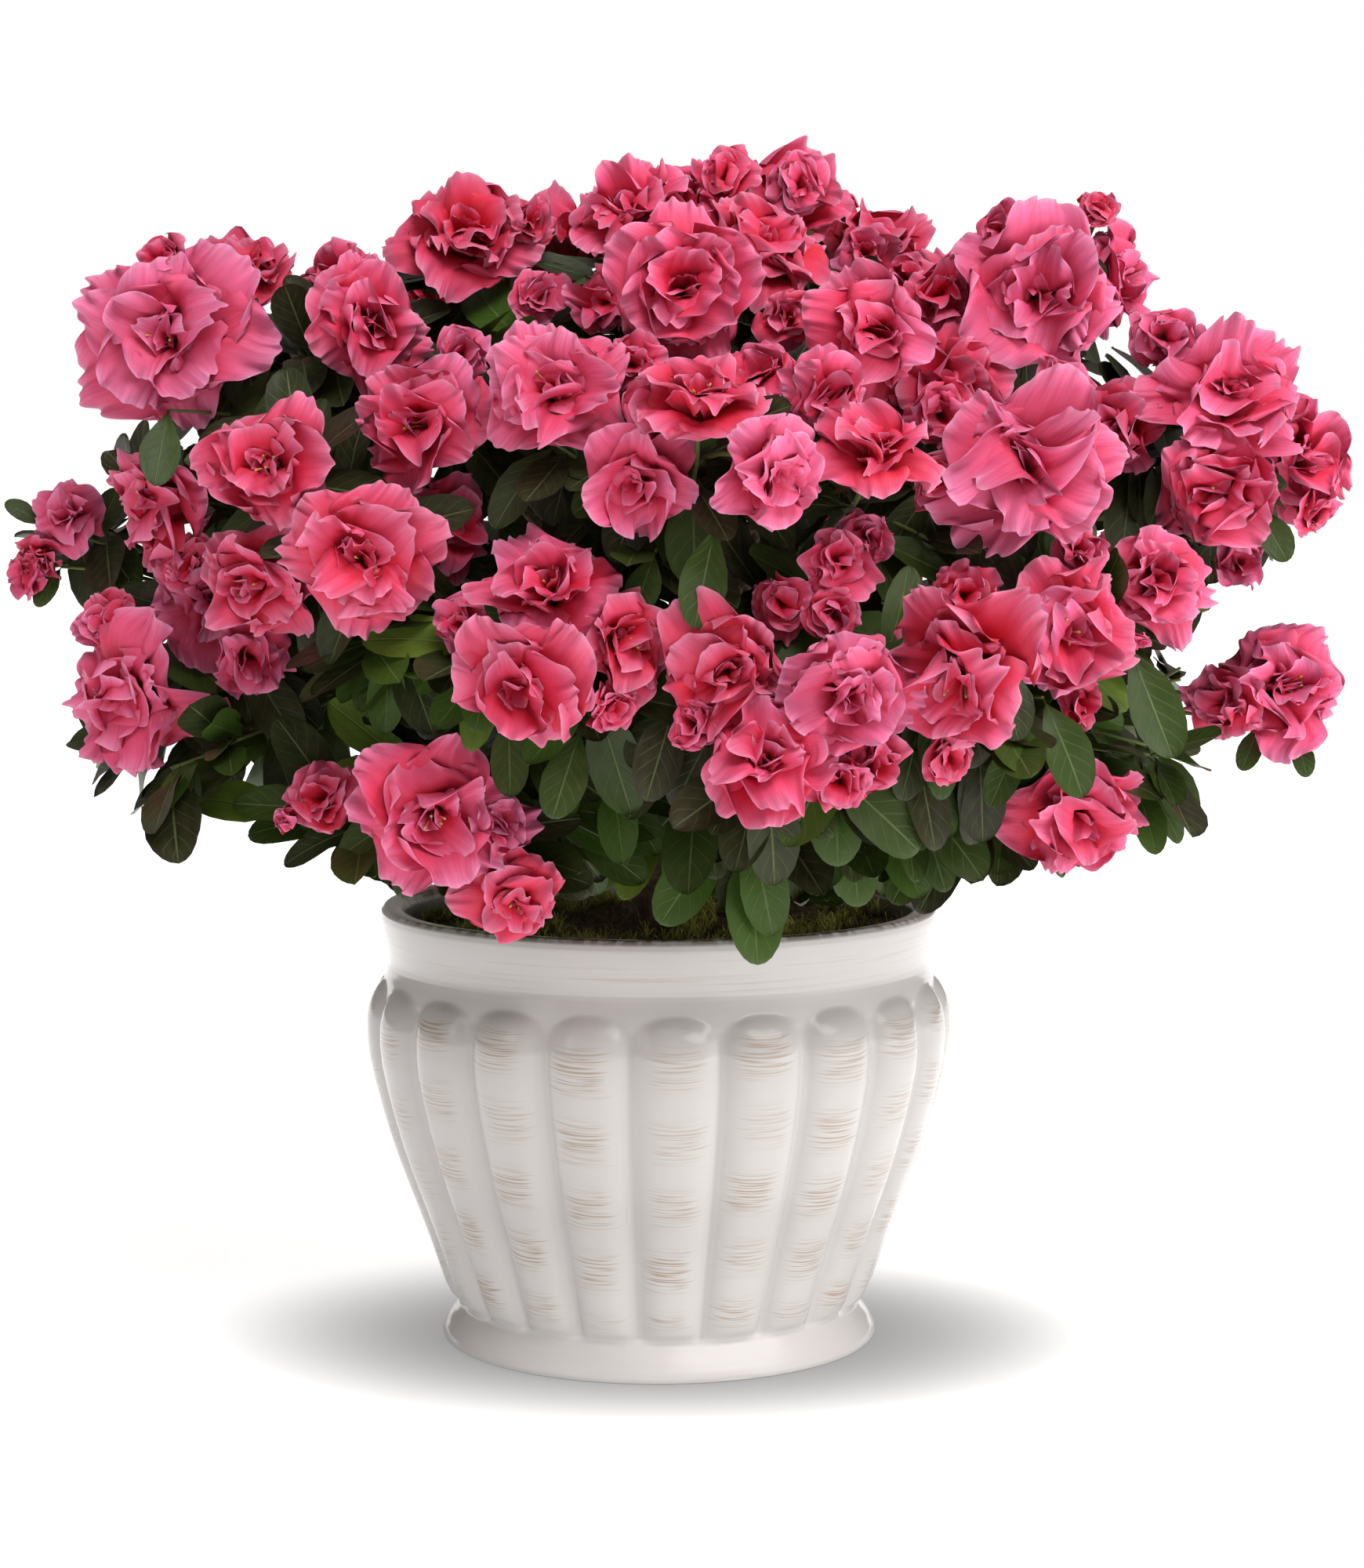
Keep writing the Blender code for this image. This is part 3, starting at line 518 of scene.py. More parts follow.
def tube_grid(path: list[Vector], radii: Sequence[float], sides: int) -> tuple[np.ndarray, np.ndarray]:
    """A tube round a path, drawn in to a point at each end.

    Args:
        path: The points that it runs through.
        radii: Its radius at each of them.
        sides: How many sides it has.

    Returns:
        The grid of points, and its places on the surface map with the closing column.
    """
    rings, first = [], None
    path = [path[0], *path, path[-1]]
    radii = [0.0, *radii, 0.0]
    for i, point in enumerate(path):
        ahead = (path[min(i + 2, len(path) - 1)] - path[max(i - 2, 0)]).normalized()
        first = side_axes(ahead)[0] if first is None else (first - ahead * first.dot(ahead)).normalized()
        second = ahead.cross(first)
        angles = [math.tau * k / sides for k in range(sides)]
        rings.append([point + swung(first, second, angle) * radii[i] for angle in angles])
    grid = np.array(rings)
    along, around = np.meshgrid(
        np.linspace(0, 1, len(path)), np.linspace(0, 1, sides + 1), indexing="ij"
    )
    return grid, np.stack([around, along], -1)


# ---- node trees ----------------------------------------------------------------------------------
class Term:
    """A value in a node tree. Arithmetic with it adds Math nodes."""

    def __init__(self, graph: "Graph", socket: bpy.types.NodeSocket) -> None:
        """Takes the graph that the value belongs to and the socket that gives it."""
        self.graph = graph
        self.socket = socket

    def __add__(self, other: object) -> "Term":
        """The sum."""
        return self.graph.maths("ADD", self, other)

    def __sub__(self, other: object) -> "Term":
        """The difference."""
        return self.graph.maths("SUBTRACT", self, other)

    def __rsub__(self, other: object) -> "Term":
        """A plain number less this value."""
        return self.graph.maths("SUBTRACT", other, self)

    def __mul__(self, other: object) -> "Term":
        """The product."""
        return self.graph.maths("MULTIPLY", self, other)

    def __truediv__(self, other: object) -> "Term":
        """The quotient."""
        return self.graph.maths("DIVIDE", self, other)

    def __pow__(self, other: object) -> "Term":
        """The power."""
        return self.graph.maths("POWER", self, other)

    def __abs__(self) -> "Term":
        """The value without its sign."""
        return self.graph.maths("ABSOLUTE", self)


class Graph:
    """A node tree that is being wired up. Its inputs may be terms, sockets or plain values."""

    def __init__(self, tree: bpy.types.NodeTree) -> None:
        """Takes the tree to add nodes to."""
        self.tree = tree

    def put(self, value: object, socket: bpy.types.NodeSocket) -> None:
        """Links a value to an input, or sets the input to it."""
        value = value.socket if isinstance(value, Term) else value
        if isinstance(value, bpy.types.NodeSocket):
            self.tree.links.new(value, socket)
        else:
            socket.default_value = value

    def node(self, kind: str, inputs: dict | None = None, **settings: object) -> bpy.types.Node:
        """Adds a node.

        Args:
            kind: Blender's name for the node's type.
            inputs: What its inputs are set to or linked from, by name or number.
            **settings: Its own properties.

        Returns:
            The node.
        """
        made = self.tree.nodes.new(kind)
        for name, value in settings.items():
            setattr(made, name, value)
        for key, value in (inputs or {}).items():
            self.put(value, made.inputs[key])
        return made

    def term(
        self, kind: str, inputs: dict | None = None, output: int | str = 0, **settings: object
    ) -> Term:
        """Adds a node and gives one of its outputs, the first unless another is named."""
        return Term(self, self.node(kind, inputs, **settings).outputs[output])

    def maths(self, operation: str, first: object, second: object = 0.0) -> Term:
        """The result of a Math node."""
        return self.term("ShaderNodeMath", {0: first, 1: second}, operation=operation)

    def blend(self, share: object, low: object, high: object) -> Term:
        """A colour between two others, of which plain ones have three parts."""
        made = self.node("ShaderNodeMix", data_type="RGBA")
        for name, value in {"Factor": share, "A": low, "B": high}.items():
            value = (*value, 1) if isinstance(value, tuple) else value
            self.put(value, next(s for s in made.inputs if s.name == name and s.enabled))
        return Term(self, next(s for s in made.outputs if s.enabled))

    def ramp(self, share: Term, *stops: tuple[float, object]) -> Term:
        """A colour or a grey read off a ramp of (place, colour) or (place, grey) stops."""
        made = self.node("ShaderNodeValToRGB", {"Fac": share})
        elements = made.color_ramp.elements
        while len(elements) < len(stops):
            elements.new(1.0)
        for element, (place, colour) in zip(elements, stops):
            element.position = place
            element.color = (*colour, 1) if isinstance(colour, tuple) else (colour, colour, colour, 1)
        return Term(self, made.outputs["Color"])

    def grain(self, at: object, scale: float, detail: float) -> Term:
        """Noise from 0 to 1 at a vector."""
        return self.term("ShaderNodeTexNoise", {"Vector": at, "Scale": scale, "Detail": detail}, "Fac")

    def streaks(self, across: Term, along: Term, detail: float = 3.0) -> Term:
        """Noise from 0 to 1 on a surface, as fine each way as its two places are scaled."""
        return self.grain(self.vector(across, along), 1.0, detail)

    def step(self, value: Term, start: float, end: float) -> Term:
        """Rises from 0 at start to 1 at end, held there on both sides."""
        inputs = {"Value": value, "From Min": start, "From Max": end}
        return self.term("ShaderNodeMapRange", inputs, "Result", clamp=True)

    def between(self, value: Term, start: float, end: float, soft: float) -> Term:
        """Is 1 from start to end and 0 outside, changing over a soft length inside both."""
        return self.step(value, start, start + soft) * self.step(value, end, end - soft)

    def from_middle(self, strip: Term) -> Term:
        """How far a place is from the middle of its strip: 0 there, 1 at both edges."""
        return abs(self.maths("FRACT", strip) * 2.0 - 1.0)

    def chance(self, *at: Term) -> Term:
        """A number from 0 to 1 that jumps from one place to the next."""
        inputs = {"Vector": self.vector(*at)}
        return self.term("ShaderNodeTexWhiteNoise", inputs, "Value", noise_dimensions="3D")

    def vector(self, x: object, y: object, z: object = 0.0) -> Term:
        """A vector from three parts."""
        return self.term("ShaderNodeCombineXYZ", {0: x, 1: y, 2: z})

    def parts(self, vector: object) -> tuple[Term, ...]:
        """The three parts of a vector."""
        return tuple(Term(self, one) for one in self.node("ShaderNodeSeparateXYZ", {0: vector}).outputs)

    def surface_places(self) -> tuple[Term, ...]:
        """The places of a piece's own surface map."""
        return self.parts(self.term("ShaderNodeUVMap", uv_map=SURFACE_MAP))

    def solid_places(self) -> Term:
        """The place in the piece's own axes."""
        return self.term("ShaderNodeTexCoord", output="Object")


def shader(name: str, **constants: object) -> tuple[bpy.types.Material, Graph, bpy.types.Node]:
    """A new material with a Principled shader.

    Args:
        name: The material's name.
        **constants: Values for the shader's inputs, with _ for a space.

    Returns:
        The material, the graph of its nodes and its Principled node.
    """
    made = bpy.data.materials.new(name)
    made.use_nodes = True
    principled = made.node_tree.nodes["Principled BSDF"]
    for key, value in constants.items():
        principled.inputs[key.replace("_", " ")].default_value = value
    return made, Graph(made.node_tree), principled


def coat(graph: Graph, principled: bpy.types.Node, colour: Term, height: Term, depth: float) -> None:
    """Gives a shader its colour, and a fine relief with its depth in metres."""
    graph.put(colour, principled.inputs["Base Color"])
    inputs = {"Height": height, "Distance": depth, "Strength": 1.0}
    graph.put(graph.term("ShaderNodeBump", inputs), principled.inputs["Normal"])


def node_group(name: str, kinds: dict[str, str]) -> tuple[Graph, bpy.types.NodeOutputs]:
    """Starts a Geometry Nodes tree that takes and gives geometry.

    Args:
        name: The tree's name.
        kinds: The kind of each of its other inputs, by name.

    Returns:
        Its graph, and the sockets of what it is given.
    """
    tree = bpy.data.node_groups.new(name, "GeometryNodeTree")
    for key, kind in {"Geometry": "Geometry", **kinds}.items():
        tree.interface.new_socket(key, in_out="INPUT", socket_type=f"NodeSocket{kind}")
    tree.interface.new_socket("Geometry", in_out="OUTPUT", socket_type="NodeSocketGeometry")
    graph = Graph(tree)
    return graph, graph.node("NodeGroupInput").outputs


# ---- finishes ------------------------------------------------------------------------------------
@dataclass(frozen=True)
class Glaze:
    """Glossy warm white glaze, dry-brushed with tan in groups of level strokes on the reeds.

    Places up the planter are shares of its whole profile, lengths below the reeds' tops millimetres.
    """

    length: float  # of the profile, in metres
    reed_top: float
    collar: tuple  # where the thin turned lines start and end
    rim: tuple  # where the rubbed lip starts and ends
    reeds: int
    white: tuple = (0.515, 0.494, 0.480)
    stain: tuple = (0.32, 0.225, 0.145)
    worn: tuple = (0.16, 0.10, 0.06)
    group_pitch: float = 22.5
    first_group: float = 4.5
    wander: float = 12.0  # how far up a reed its groups may shift
    stroke_scale: float = 1.5
    sag: float = 8.0  # how far strokes drop towards a reed's sides
    brushed: tuple = (2.0, 4.0, 98.0, 104.0)  # where the strokes fade in and out

    def strokes(self, graph: Graph, around: Term, below: Term) -> Term:
        """How strongly each place is brushed.

        Args:
            graph: The material's graph.
            around: The place round the planter, from 0 to 1.
            below: How far below the reeds' tops.

        Returns:
            The share of the stain.
        """
        reed = around * self.reeds
        number = graph.maths("FLOOR", reed)
        across = graph.maths("FRACT", reed) - 0.5
        shifted = below + graph.chance(number, 0.5) * self.wander
        groups = (shifted - self.first_group) / self.group_pitch
        luck = graph.chance(number, graph.maths("FLOOR", groups))
        middle = abs(graph.maths("FRACT", groups) - 0.5)
        level = (below + across * across * self.sag) * self.stroke_scale
        line = graph.grain(graph.vector(across * 0.9, level, number), 1.0, 1.0)
        ends = graph.grain(graph.vector(level * 0.8, number, 7.0), 1.0, 0.0)
        aside = abs(across + (luck - 0.5) * 0.16 + 0.04)
        reach = graph.ramp(aside + (ends - 0.5) * 0.5, (0.17, 1), (0.33, 0))
        drawn = graph.ramp(line, (0.46, 0), (0.58, 1))
        patch = graph.ramp(middle, (0.14, 1), (0.40, 0))
        return drawn * reach * ((luck * 0.6 + 0.4) * patch)

    def make(self) -> bpy.types.Material:
        """Builds the material, which reads the planter's surface map."""
        made, graph, principled = shader(
            "white_glaze", Roughness=0.17, Coat_Weight=0.5, Coat_Roughness=0.1
        )
        around, up, _ = graph.surface_places()
        below = (self.reed_top - up) * (self.length / MM)
        fade_in, full, fading, gone = self.brushed
        on_reeds = graph.step(below, fade_in, full) * graph.step(below, gone, fading)
        share = self.strokes(graph, around, below) * on_reeds
        colour = graph.blend(share * 0.95, self.white, self.stain)
        turned = graph.streaks(around * 9.0, up * 330.0, 2.0)
        lines = graph.ramp(turned, (0.55, 0), (0.70, 0.30)) * graph.between(up, *self.collar, 0.01)
        colour = graph.blend(lines, colour, self.stain)
        dash = graph.streaks(around * 150.0, up * 60.0, 2.0)
        rubbed = graph.ramp(dash, (0.42, 0), (0.54, 0.9)) * graph.between(up, *self.rim, 0.006)
        colour = graph.blend(rubbed, colour, self.worn)
        coat(graph, principled, colour, graph.grain(graph.solid_places(), 60.0, 1.0), 0.3 * MM)
        return made


@dataclass(frozen=True)
class Petal:
    """Soft pink petals with fine veins along them, painted with shade deep in the throat and with a pale
    painted highlight at the tip and rim.
    """

    tints: int
    # the throat and low colours are painted shade deep in the flower; the tip and rim colours are a
    # painted highlight
    throat: tuple = (0.27, 0.003, 0.003)
    low: tuple = (0.54, 0.009, 0.008)
    blade: tuple = (0.68, 0.026, 0.056)
    tip: tuple = (0.69, 0.145, 0.300)
    rim: tuple = (0.78, 0.475, 0.665)
    vein: tuple = (0.55, 0.012, 0.032)
    tone_share: float = 0.3
    tones: tuple = (  # the tint of each flower, from the first strip to the last
        (0.0, (0.74, 0.18, 0.39)), (0.34, (0.74, 0.065, 0.17)),
        (0.67, (0.53, 0.009, 0.018)), (0.9, (0.72, 0.04, 0.13)),
    )

    def make(self) -> bpy.types.Material:
        """Builds the material, which reads a petal's place across its tint's strip and along it."""
        made, graph, principled = shader("petal_pink", Roughness=0.46, Specular_IOR_Level=0.18)
        across, along, _ = graph.surface_places()
        strip = across * self.tints
        edge = graph.maths("MAXIMUM", along, graph.from_middle(strip) * 0.97)
        # painted shade darkens the petal towards its throat, painted highlight lightens it towards its
        # tip
        body = graph.ramp(
            along, (0.0, self.throat), (0.30, self.low), (0.62, self.blade), (1.0, self.tip)
        )
        # painted highlight: a thin pale line along the petal's rim
        rim = graph.ramp(edge, (0.84, 0), (0.95, 0.22), (0.995, 0.6))
        colour = graph.blend(rim * along, body, self.rim)
        tone = graph.ramp(graph.maths("FLOOR", strip) / self.tints, *self.tones)
        colour = graph.blend(self.tone_share, colour, tone)
        vein = graph.streaks(strip * 34.0, along * 2.2)
        colour = graph.blend(graph.ramp(vein, (0.40, 0.22), (0.54, 0)), colour, self.vein)
        cloud = graph.streaks(strip * 3.5, along * 3.5)
        colour = graph.blend(graph.ramp(cloud, (0.45, 0), (0.75, 0.22)), colour, self.tip)
        coat(graph, principled, colour, vein, 0.16 * MM)
        return made


@dataclass(frozen=True)
class LeafGreen:
    """Satin evergreen leaves, from blackish green to the yellow-green of young ones."""

    greens: tuple = (
        (0.021, 0.018, 0.009), (0.026, 0.032, 0.011), (0.030, 0.057, 0.009), (0.045, 0.098, 0.011),
        (0.13, 0.20, 0.025),
    )
    mottled: tuple = (0.065, 0.080, 0.024)
    veined: tuple = (0.16, 0.22, 0.08)
    vein_pairs: float = 7.0

    def make(self) -> bpy.types.Material:
        """Builds the material, which reads a leaf's place across its green's strip and along it."""
        made, graph, principled = shader("leaf_green", Roughness=0.36, Specular_IOR_Level=0.36)
        across, along, _ = graph.surface_places()
        last = len(self.greens) - 1
        strip = across * len(self.greens)
        side = graph.from_middle(strip)
        green = graph.maths("FLOOR", strip) / last
        body = graph.ramp(green, *((k / last, tone) for k, tone in enumerate(self.greens)))
        mottle = graph.streaks(strip * 5.0, along * 5.0)
        body = graph.blend(graph.ramp(mottle, (0.3, 0), (0.75, 0.35)), body, self.mottled)
        midrib = graph.ramp(side, (0.015, 0.55), (0.06, 0))
        sweep = graph.maths("FRACT", along * self.vein_pairs - side * 1.9)
        arch = graph.ramp(sweep, (0.0, 0.2), (0.09, 0), (0.93, 0), (1.0, 0.2))
        veins = graph.maths("MAXIMUM", midrib, arch * graph.ramp(side, (0.7, 1), (0.95, 0)))
        colour = graph.blend(veins, body, self.veined)
        coat(graph, principled, colour, mottle - veins, 0.25 * MM)
        return made


@dataclass(frozen=True)
class Grown:
    """A rough natural surface of two colours, mixed by a coarse and a fine noise."""

    name: str
    light: tuple
    dark: tuple
    scale: float
    depth: float
    roughness: float = 0.85

    def make(self) -> bpy.types.Material:
        """Builds the material, which reads object coordinates."""
        made, graph, principled = shader(self.name, Roughness=self.roughness)
        at = graph.solid_places()
        share = graph.grain(at, self.scale, 4.0) * 0.6 + graph.grain(at, self.scale * 4.1, 3.0) * 0.4
        colour = graph.blend(graph.ramp(share, (0.38, 0), (0.62, 1)), self.dark, self.light)
        coat(graph, principled, colour, share, self.depth)
        return made


@dataclass(frozen=True)
class Strand:
    """A thin grown thing that changes from one colour at its foot to another at its tip."""

    name: str
    foot: tuple
    tip: tuple
    roughness: float = 0.8

    def make(self) -> bpy.types.Material:
        """Builds the material, which reads the place along the strand and round it."""
        made, graph, principled = shader(self.name, Roughness=self.roughness)
        around, along, _ = graph.surface_places()
        fleck = graph.streaks(around * 5.0, along * 30.0, 2.0)
        share = graph.ramp(along + (fleck - 0.5) * 0.7, (0.05, 0), (0.9, 1))
        coat(graph, principled, graph.blend(share, self.foot, self.tip), fleck, 0.1 * MM)
        return made


BARK = Grown("bark", (0.23, 0.16, 0.10), (0.07, 0.045, 0.028), 260.0, 1.2 * MM)
GREEN_TWIG = Strand("green_twig", (0.10, 0.07, 0.035), (0.13, 0.17, 0.04), 0.6)
SOIL = Grown("potting_mix", (0.20, 0.14, 0.085), (0.045, 0.032, 0.020), 420.0, 2.0 * MM, 0.95)
MOSS = Strand("moss", (0.16, 0.16, 0.04), (0.62, 0.62, 0.14))
FIBRE = Strand("fibre", (0.10, 0.06, 0.035), (0.27, 0.17, 0.09))
STAMEN = Strand("stamen", (0.50, 0.06, 0.06), (0.66, 0.30, 0.14), 0.5)
ANTHER = Strand("anther", (0.40, 0.28, 0.05), (0.55, 0.42, 0.10), 0.7)


# ---- planter -------------------------------------------------------------------------------------
@dataclass
class Planter:
    """The glazed planter: a flared foot, a reeded bowl, a plain collar and a rounded rim."""

    reeds: int = 21
    turn: float = math.radians(3.7)
    reed_height: float = 4.4 * MM
    arch_start: float = 101.5 * MM
    arch_length: float = 15.5 * MM
    squareness: float = 2.7
    roundness: float = 2.7
    columns: int = 294  # 14 to a reed
    steps: int = 5  # to each span of the wall
    wall: tuple = (
        # radius between the reeds, z, share of the reeds' height
        # the flat underside and the foot
        (0.0, 0.0, 0), (40, 0.0, 0), (69.2, 0.0, 0), (70.0, 0.5, 0), (70.2, 1.6, 0), (69.6, 3.4, 0),
        (68.0, 6.0, 0), (66.0, 8.6, 0), (64.4, 10.8, 0.05), (63.7, 12.6, 0.4), (63.9, 14.8, 0.85),
        # the reeded bowl
        (65.0, 18.2, 1), (69.0, 30, 1), (72.6, 40, 1), (76.0, 49, 1), (79.4, 58, 1), (82.4, 67, 1),
        (85.0, 76, 1), (87.3, 85, 1), (89.0, 93, 1), (89.6, 99, 1), (89.6, 105, 1), (89.3, 110, 1),
        (88.8, 114, 1), (88.1, 117, 1), (87.4, 119.4, 1), (86.95, 121.3, 1),
        # the collar and the rim
        (86.8, 122.8, 0), (86.9, 124.4, 0), (87.2, 126.4, 0), (87.7, 129, 0), (88.6, 133, 0),
        (89.2, 136.6, 0), (89.0, 138.6, 0), (87.8, 139.8, 0), (85.3, 140.0, 0), (82.5, 139.2, 0),
        # the inner wall and the floor
        (81.3, 137.2, 0), (80.9, 133, 0), (79.6, 110, 0), (76.0, 76, 0), (64.0, 40, 0), (52.0, 9, 0),
        (0.0, 9, 0),
    )

    def lathe(self) -> bpy.types.Mesh:
        """The planter's wall without its reeds, turned on its axis, with each point's share of them."""
        rows, at = np.array(self.wall, float), self.stations()
        spans = [np.linspace(a, b, self.steps) for a, b in zip(at[2:-3], at[3:-2])]
        fine = np.concatenate([at[:2], np.unique(np.concatenate(spans)), at[-2:]])
        radius, height, share = (np.interp(fine, at, rows[:, k]) for k in range(3))
        angle = np.linspace(0, math.tau, self.columns, endpoint=False) + self.turn + math.pi
        grid = np.empty((len(fine), self.columns, 3))
        grid[..., 0] = radius[:, None] * np.sin(angle)
        grid[..., 1] = -radius[:, None] * np.cos(angle)
        grid[..., 2] = height[:, None]
        around, along = np.meshgrid(np.linspace(0, 1, self.columns + 1), fine / at[-1])
        book = PatchBook()
        book.add(grid * MM, np.stack([around, along], -1), wrap=True)
        mesh = book.mesh("planter_lathe")
        mesh.attributes.new("reeding", "FLOAT", "POINT").data.foreach_set(
            "value", np.repeat(share, self.columns).astype(np.float32)
        )
        return mesh

    def stations(self) -> np.ndarray:
        """How far along the profile each of its corners lies."""
        rows = np.array(self.wall, float)
        spans = np.linalg.norm(np.diff(rows[:, :2], axis=0), axis=1)
        return np.concatenate([[0], np.cumsum(spans)])

    def share_at(self, height: float, inside: bool = False) -> float:
        """The share of the profile's length at a height in millimetres, outside or inside."""
        rows, at = np.array(self.wall, float), self.stations()
        top = int(np.argmax(rows[:, 1]))
        if inside:
            return float(np.interp(-height, -rows[top:, 1], at[top:]) / at[-1])
        return float(np.interp(height, rows[2:top, 1], at[2:top]) / at[-1])

    def reeding(self) -> bpy.types.NodeTree:
        """The node tree that raises the reeds, each arched over at its top."""
        numbers = ("Reeds", "Turn", "Height", "Arch start", "Arch length", "Squareness", "Roundness")
        graph, given = node_group("Reeding", {**dict.fromkeys(numbers, "Float"), "Finish": "Material"})
        square = given["Squareness"]
        x, y, z = graph.parts(graph.term("GeometryNodeInputPosition"))
        angle = graph.maths("ARCTAN2", x, y * -1.0)
        turns = (angle - given["Turn"]) * given["Reeds"] / math.tau
        side = graph.maths("PINGPONG", turns, 0.5) * 2.0
        rise = graph.maths("MAXIMUM", z - given["Arch start"], 0.0) / given["Arch length"]
        away = (side ** square + rise ** square) ** graph.maths("DIVIDE", 1.0, square)
        swell = 1.0 - graph.maths("MINIMUM", away, 1.0) ** given["Roundness"]
        share = graph.term("GeometryNodeInputNamedAttribute", {"Name": "reeding"}, data_type="FLOAT")
        reach = graph.maths("MAXIMUM", graph.maths("SQRT", x * x + y * y), 1 * MM)
        scale = swell * share * given["Height"] / reach
        offset = graph.vector(x * scale, y * scale)
        moved = graph.term("GeometryNodeSetPosition", {"Geometry": given["Geometry"], "Offset": offset})
        inputs = {"Geometry": moved, "Material": given["Finish"]}
        dressed = graph.term("GeometryNodeSetMaterial", inputs)
        graph.node("NodeGroupOutput", {0: graph.term("GeometryNodeRealizeInstances", {0: dressed})})
        return graph.tree

    def glaze(self) -> Glaze:
        """The glaze, with its brushed zones set out on the profile."""
        return Glaze(
            length=self.stations()[-1] * MM,
            reed_top=self.share_at(115),
            collar=(self.share_at(121), self.share_at(136)),
            rim=(self.share_at(138.2), self.share_at(136, inside=True)),
            reeds=self.reeds,
        )

    def build(self) -> None:
        """Makes the planter, which stands for the plain solid."""
        values = {
            "Reeds": float(self.reeds), "Turn": self.turn, "Height": self.reed_height,
            "Arch start": self.arch_start, "Arch length": self.arch_length,
            "Squareness": self.squareness, "Roundness": self.roundness, "Finish": self.glaze().make(),
        }
        mesh = grown(self.lathe(), self.reeding(), values, weld=True)
        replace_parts(show("glazed_planter", mesh, None), "planter")


def grown(
    base: bpy.types.Mesh, tree: bpy.types.NodeTree, values: dict[str, object], weld: bool = False
) -> bpy.types.Mesh:
    """Runs a Geometry Nodes tree on a mesh and keeps the result as a plain mesh.

    Args:
        base: The mesh that the tree starts from.
        tree: The tree.
        values: What its named inputs are set to.
        weld: Whether the result is one closed shell, to be welded and turned outward.

    Returns:
        The result.
    """
    holder = add_object("holder", base)
    modifier = holder.modifiers.new("Grow", "NODES")
    modifier.node_group = tree
    for item in tree.interface.items_tree:
        if item.item_type == "SOCKET" and item.in_out == "INPUT" and item.name in values:
            modifier[item.identifier] = values[item.name]
    made = modified(holder)
    if weld:
        mend(made)
    made.shade_smooth()
    return made


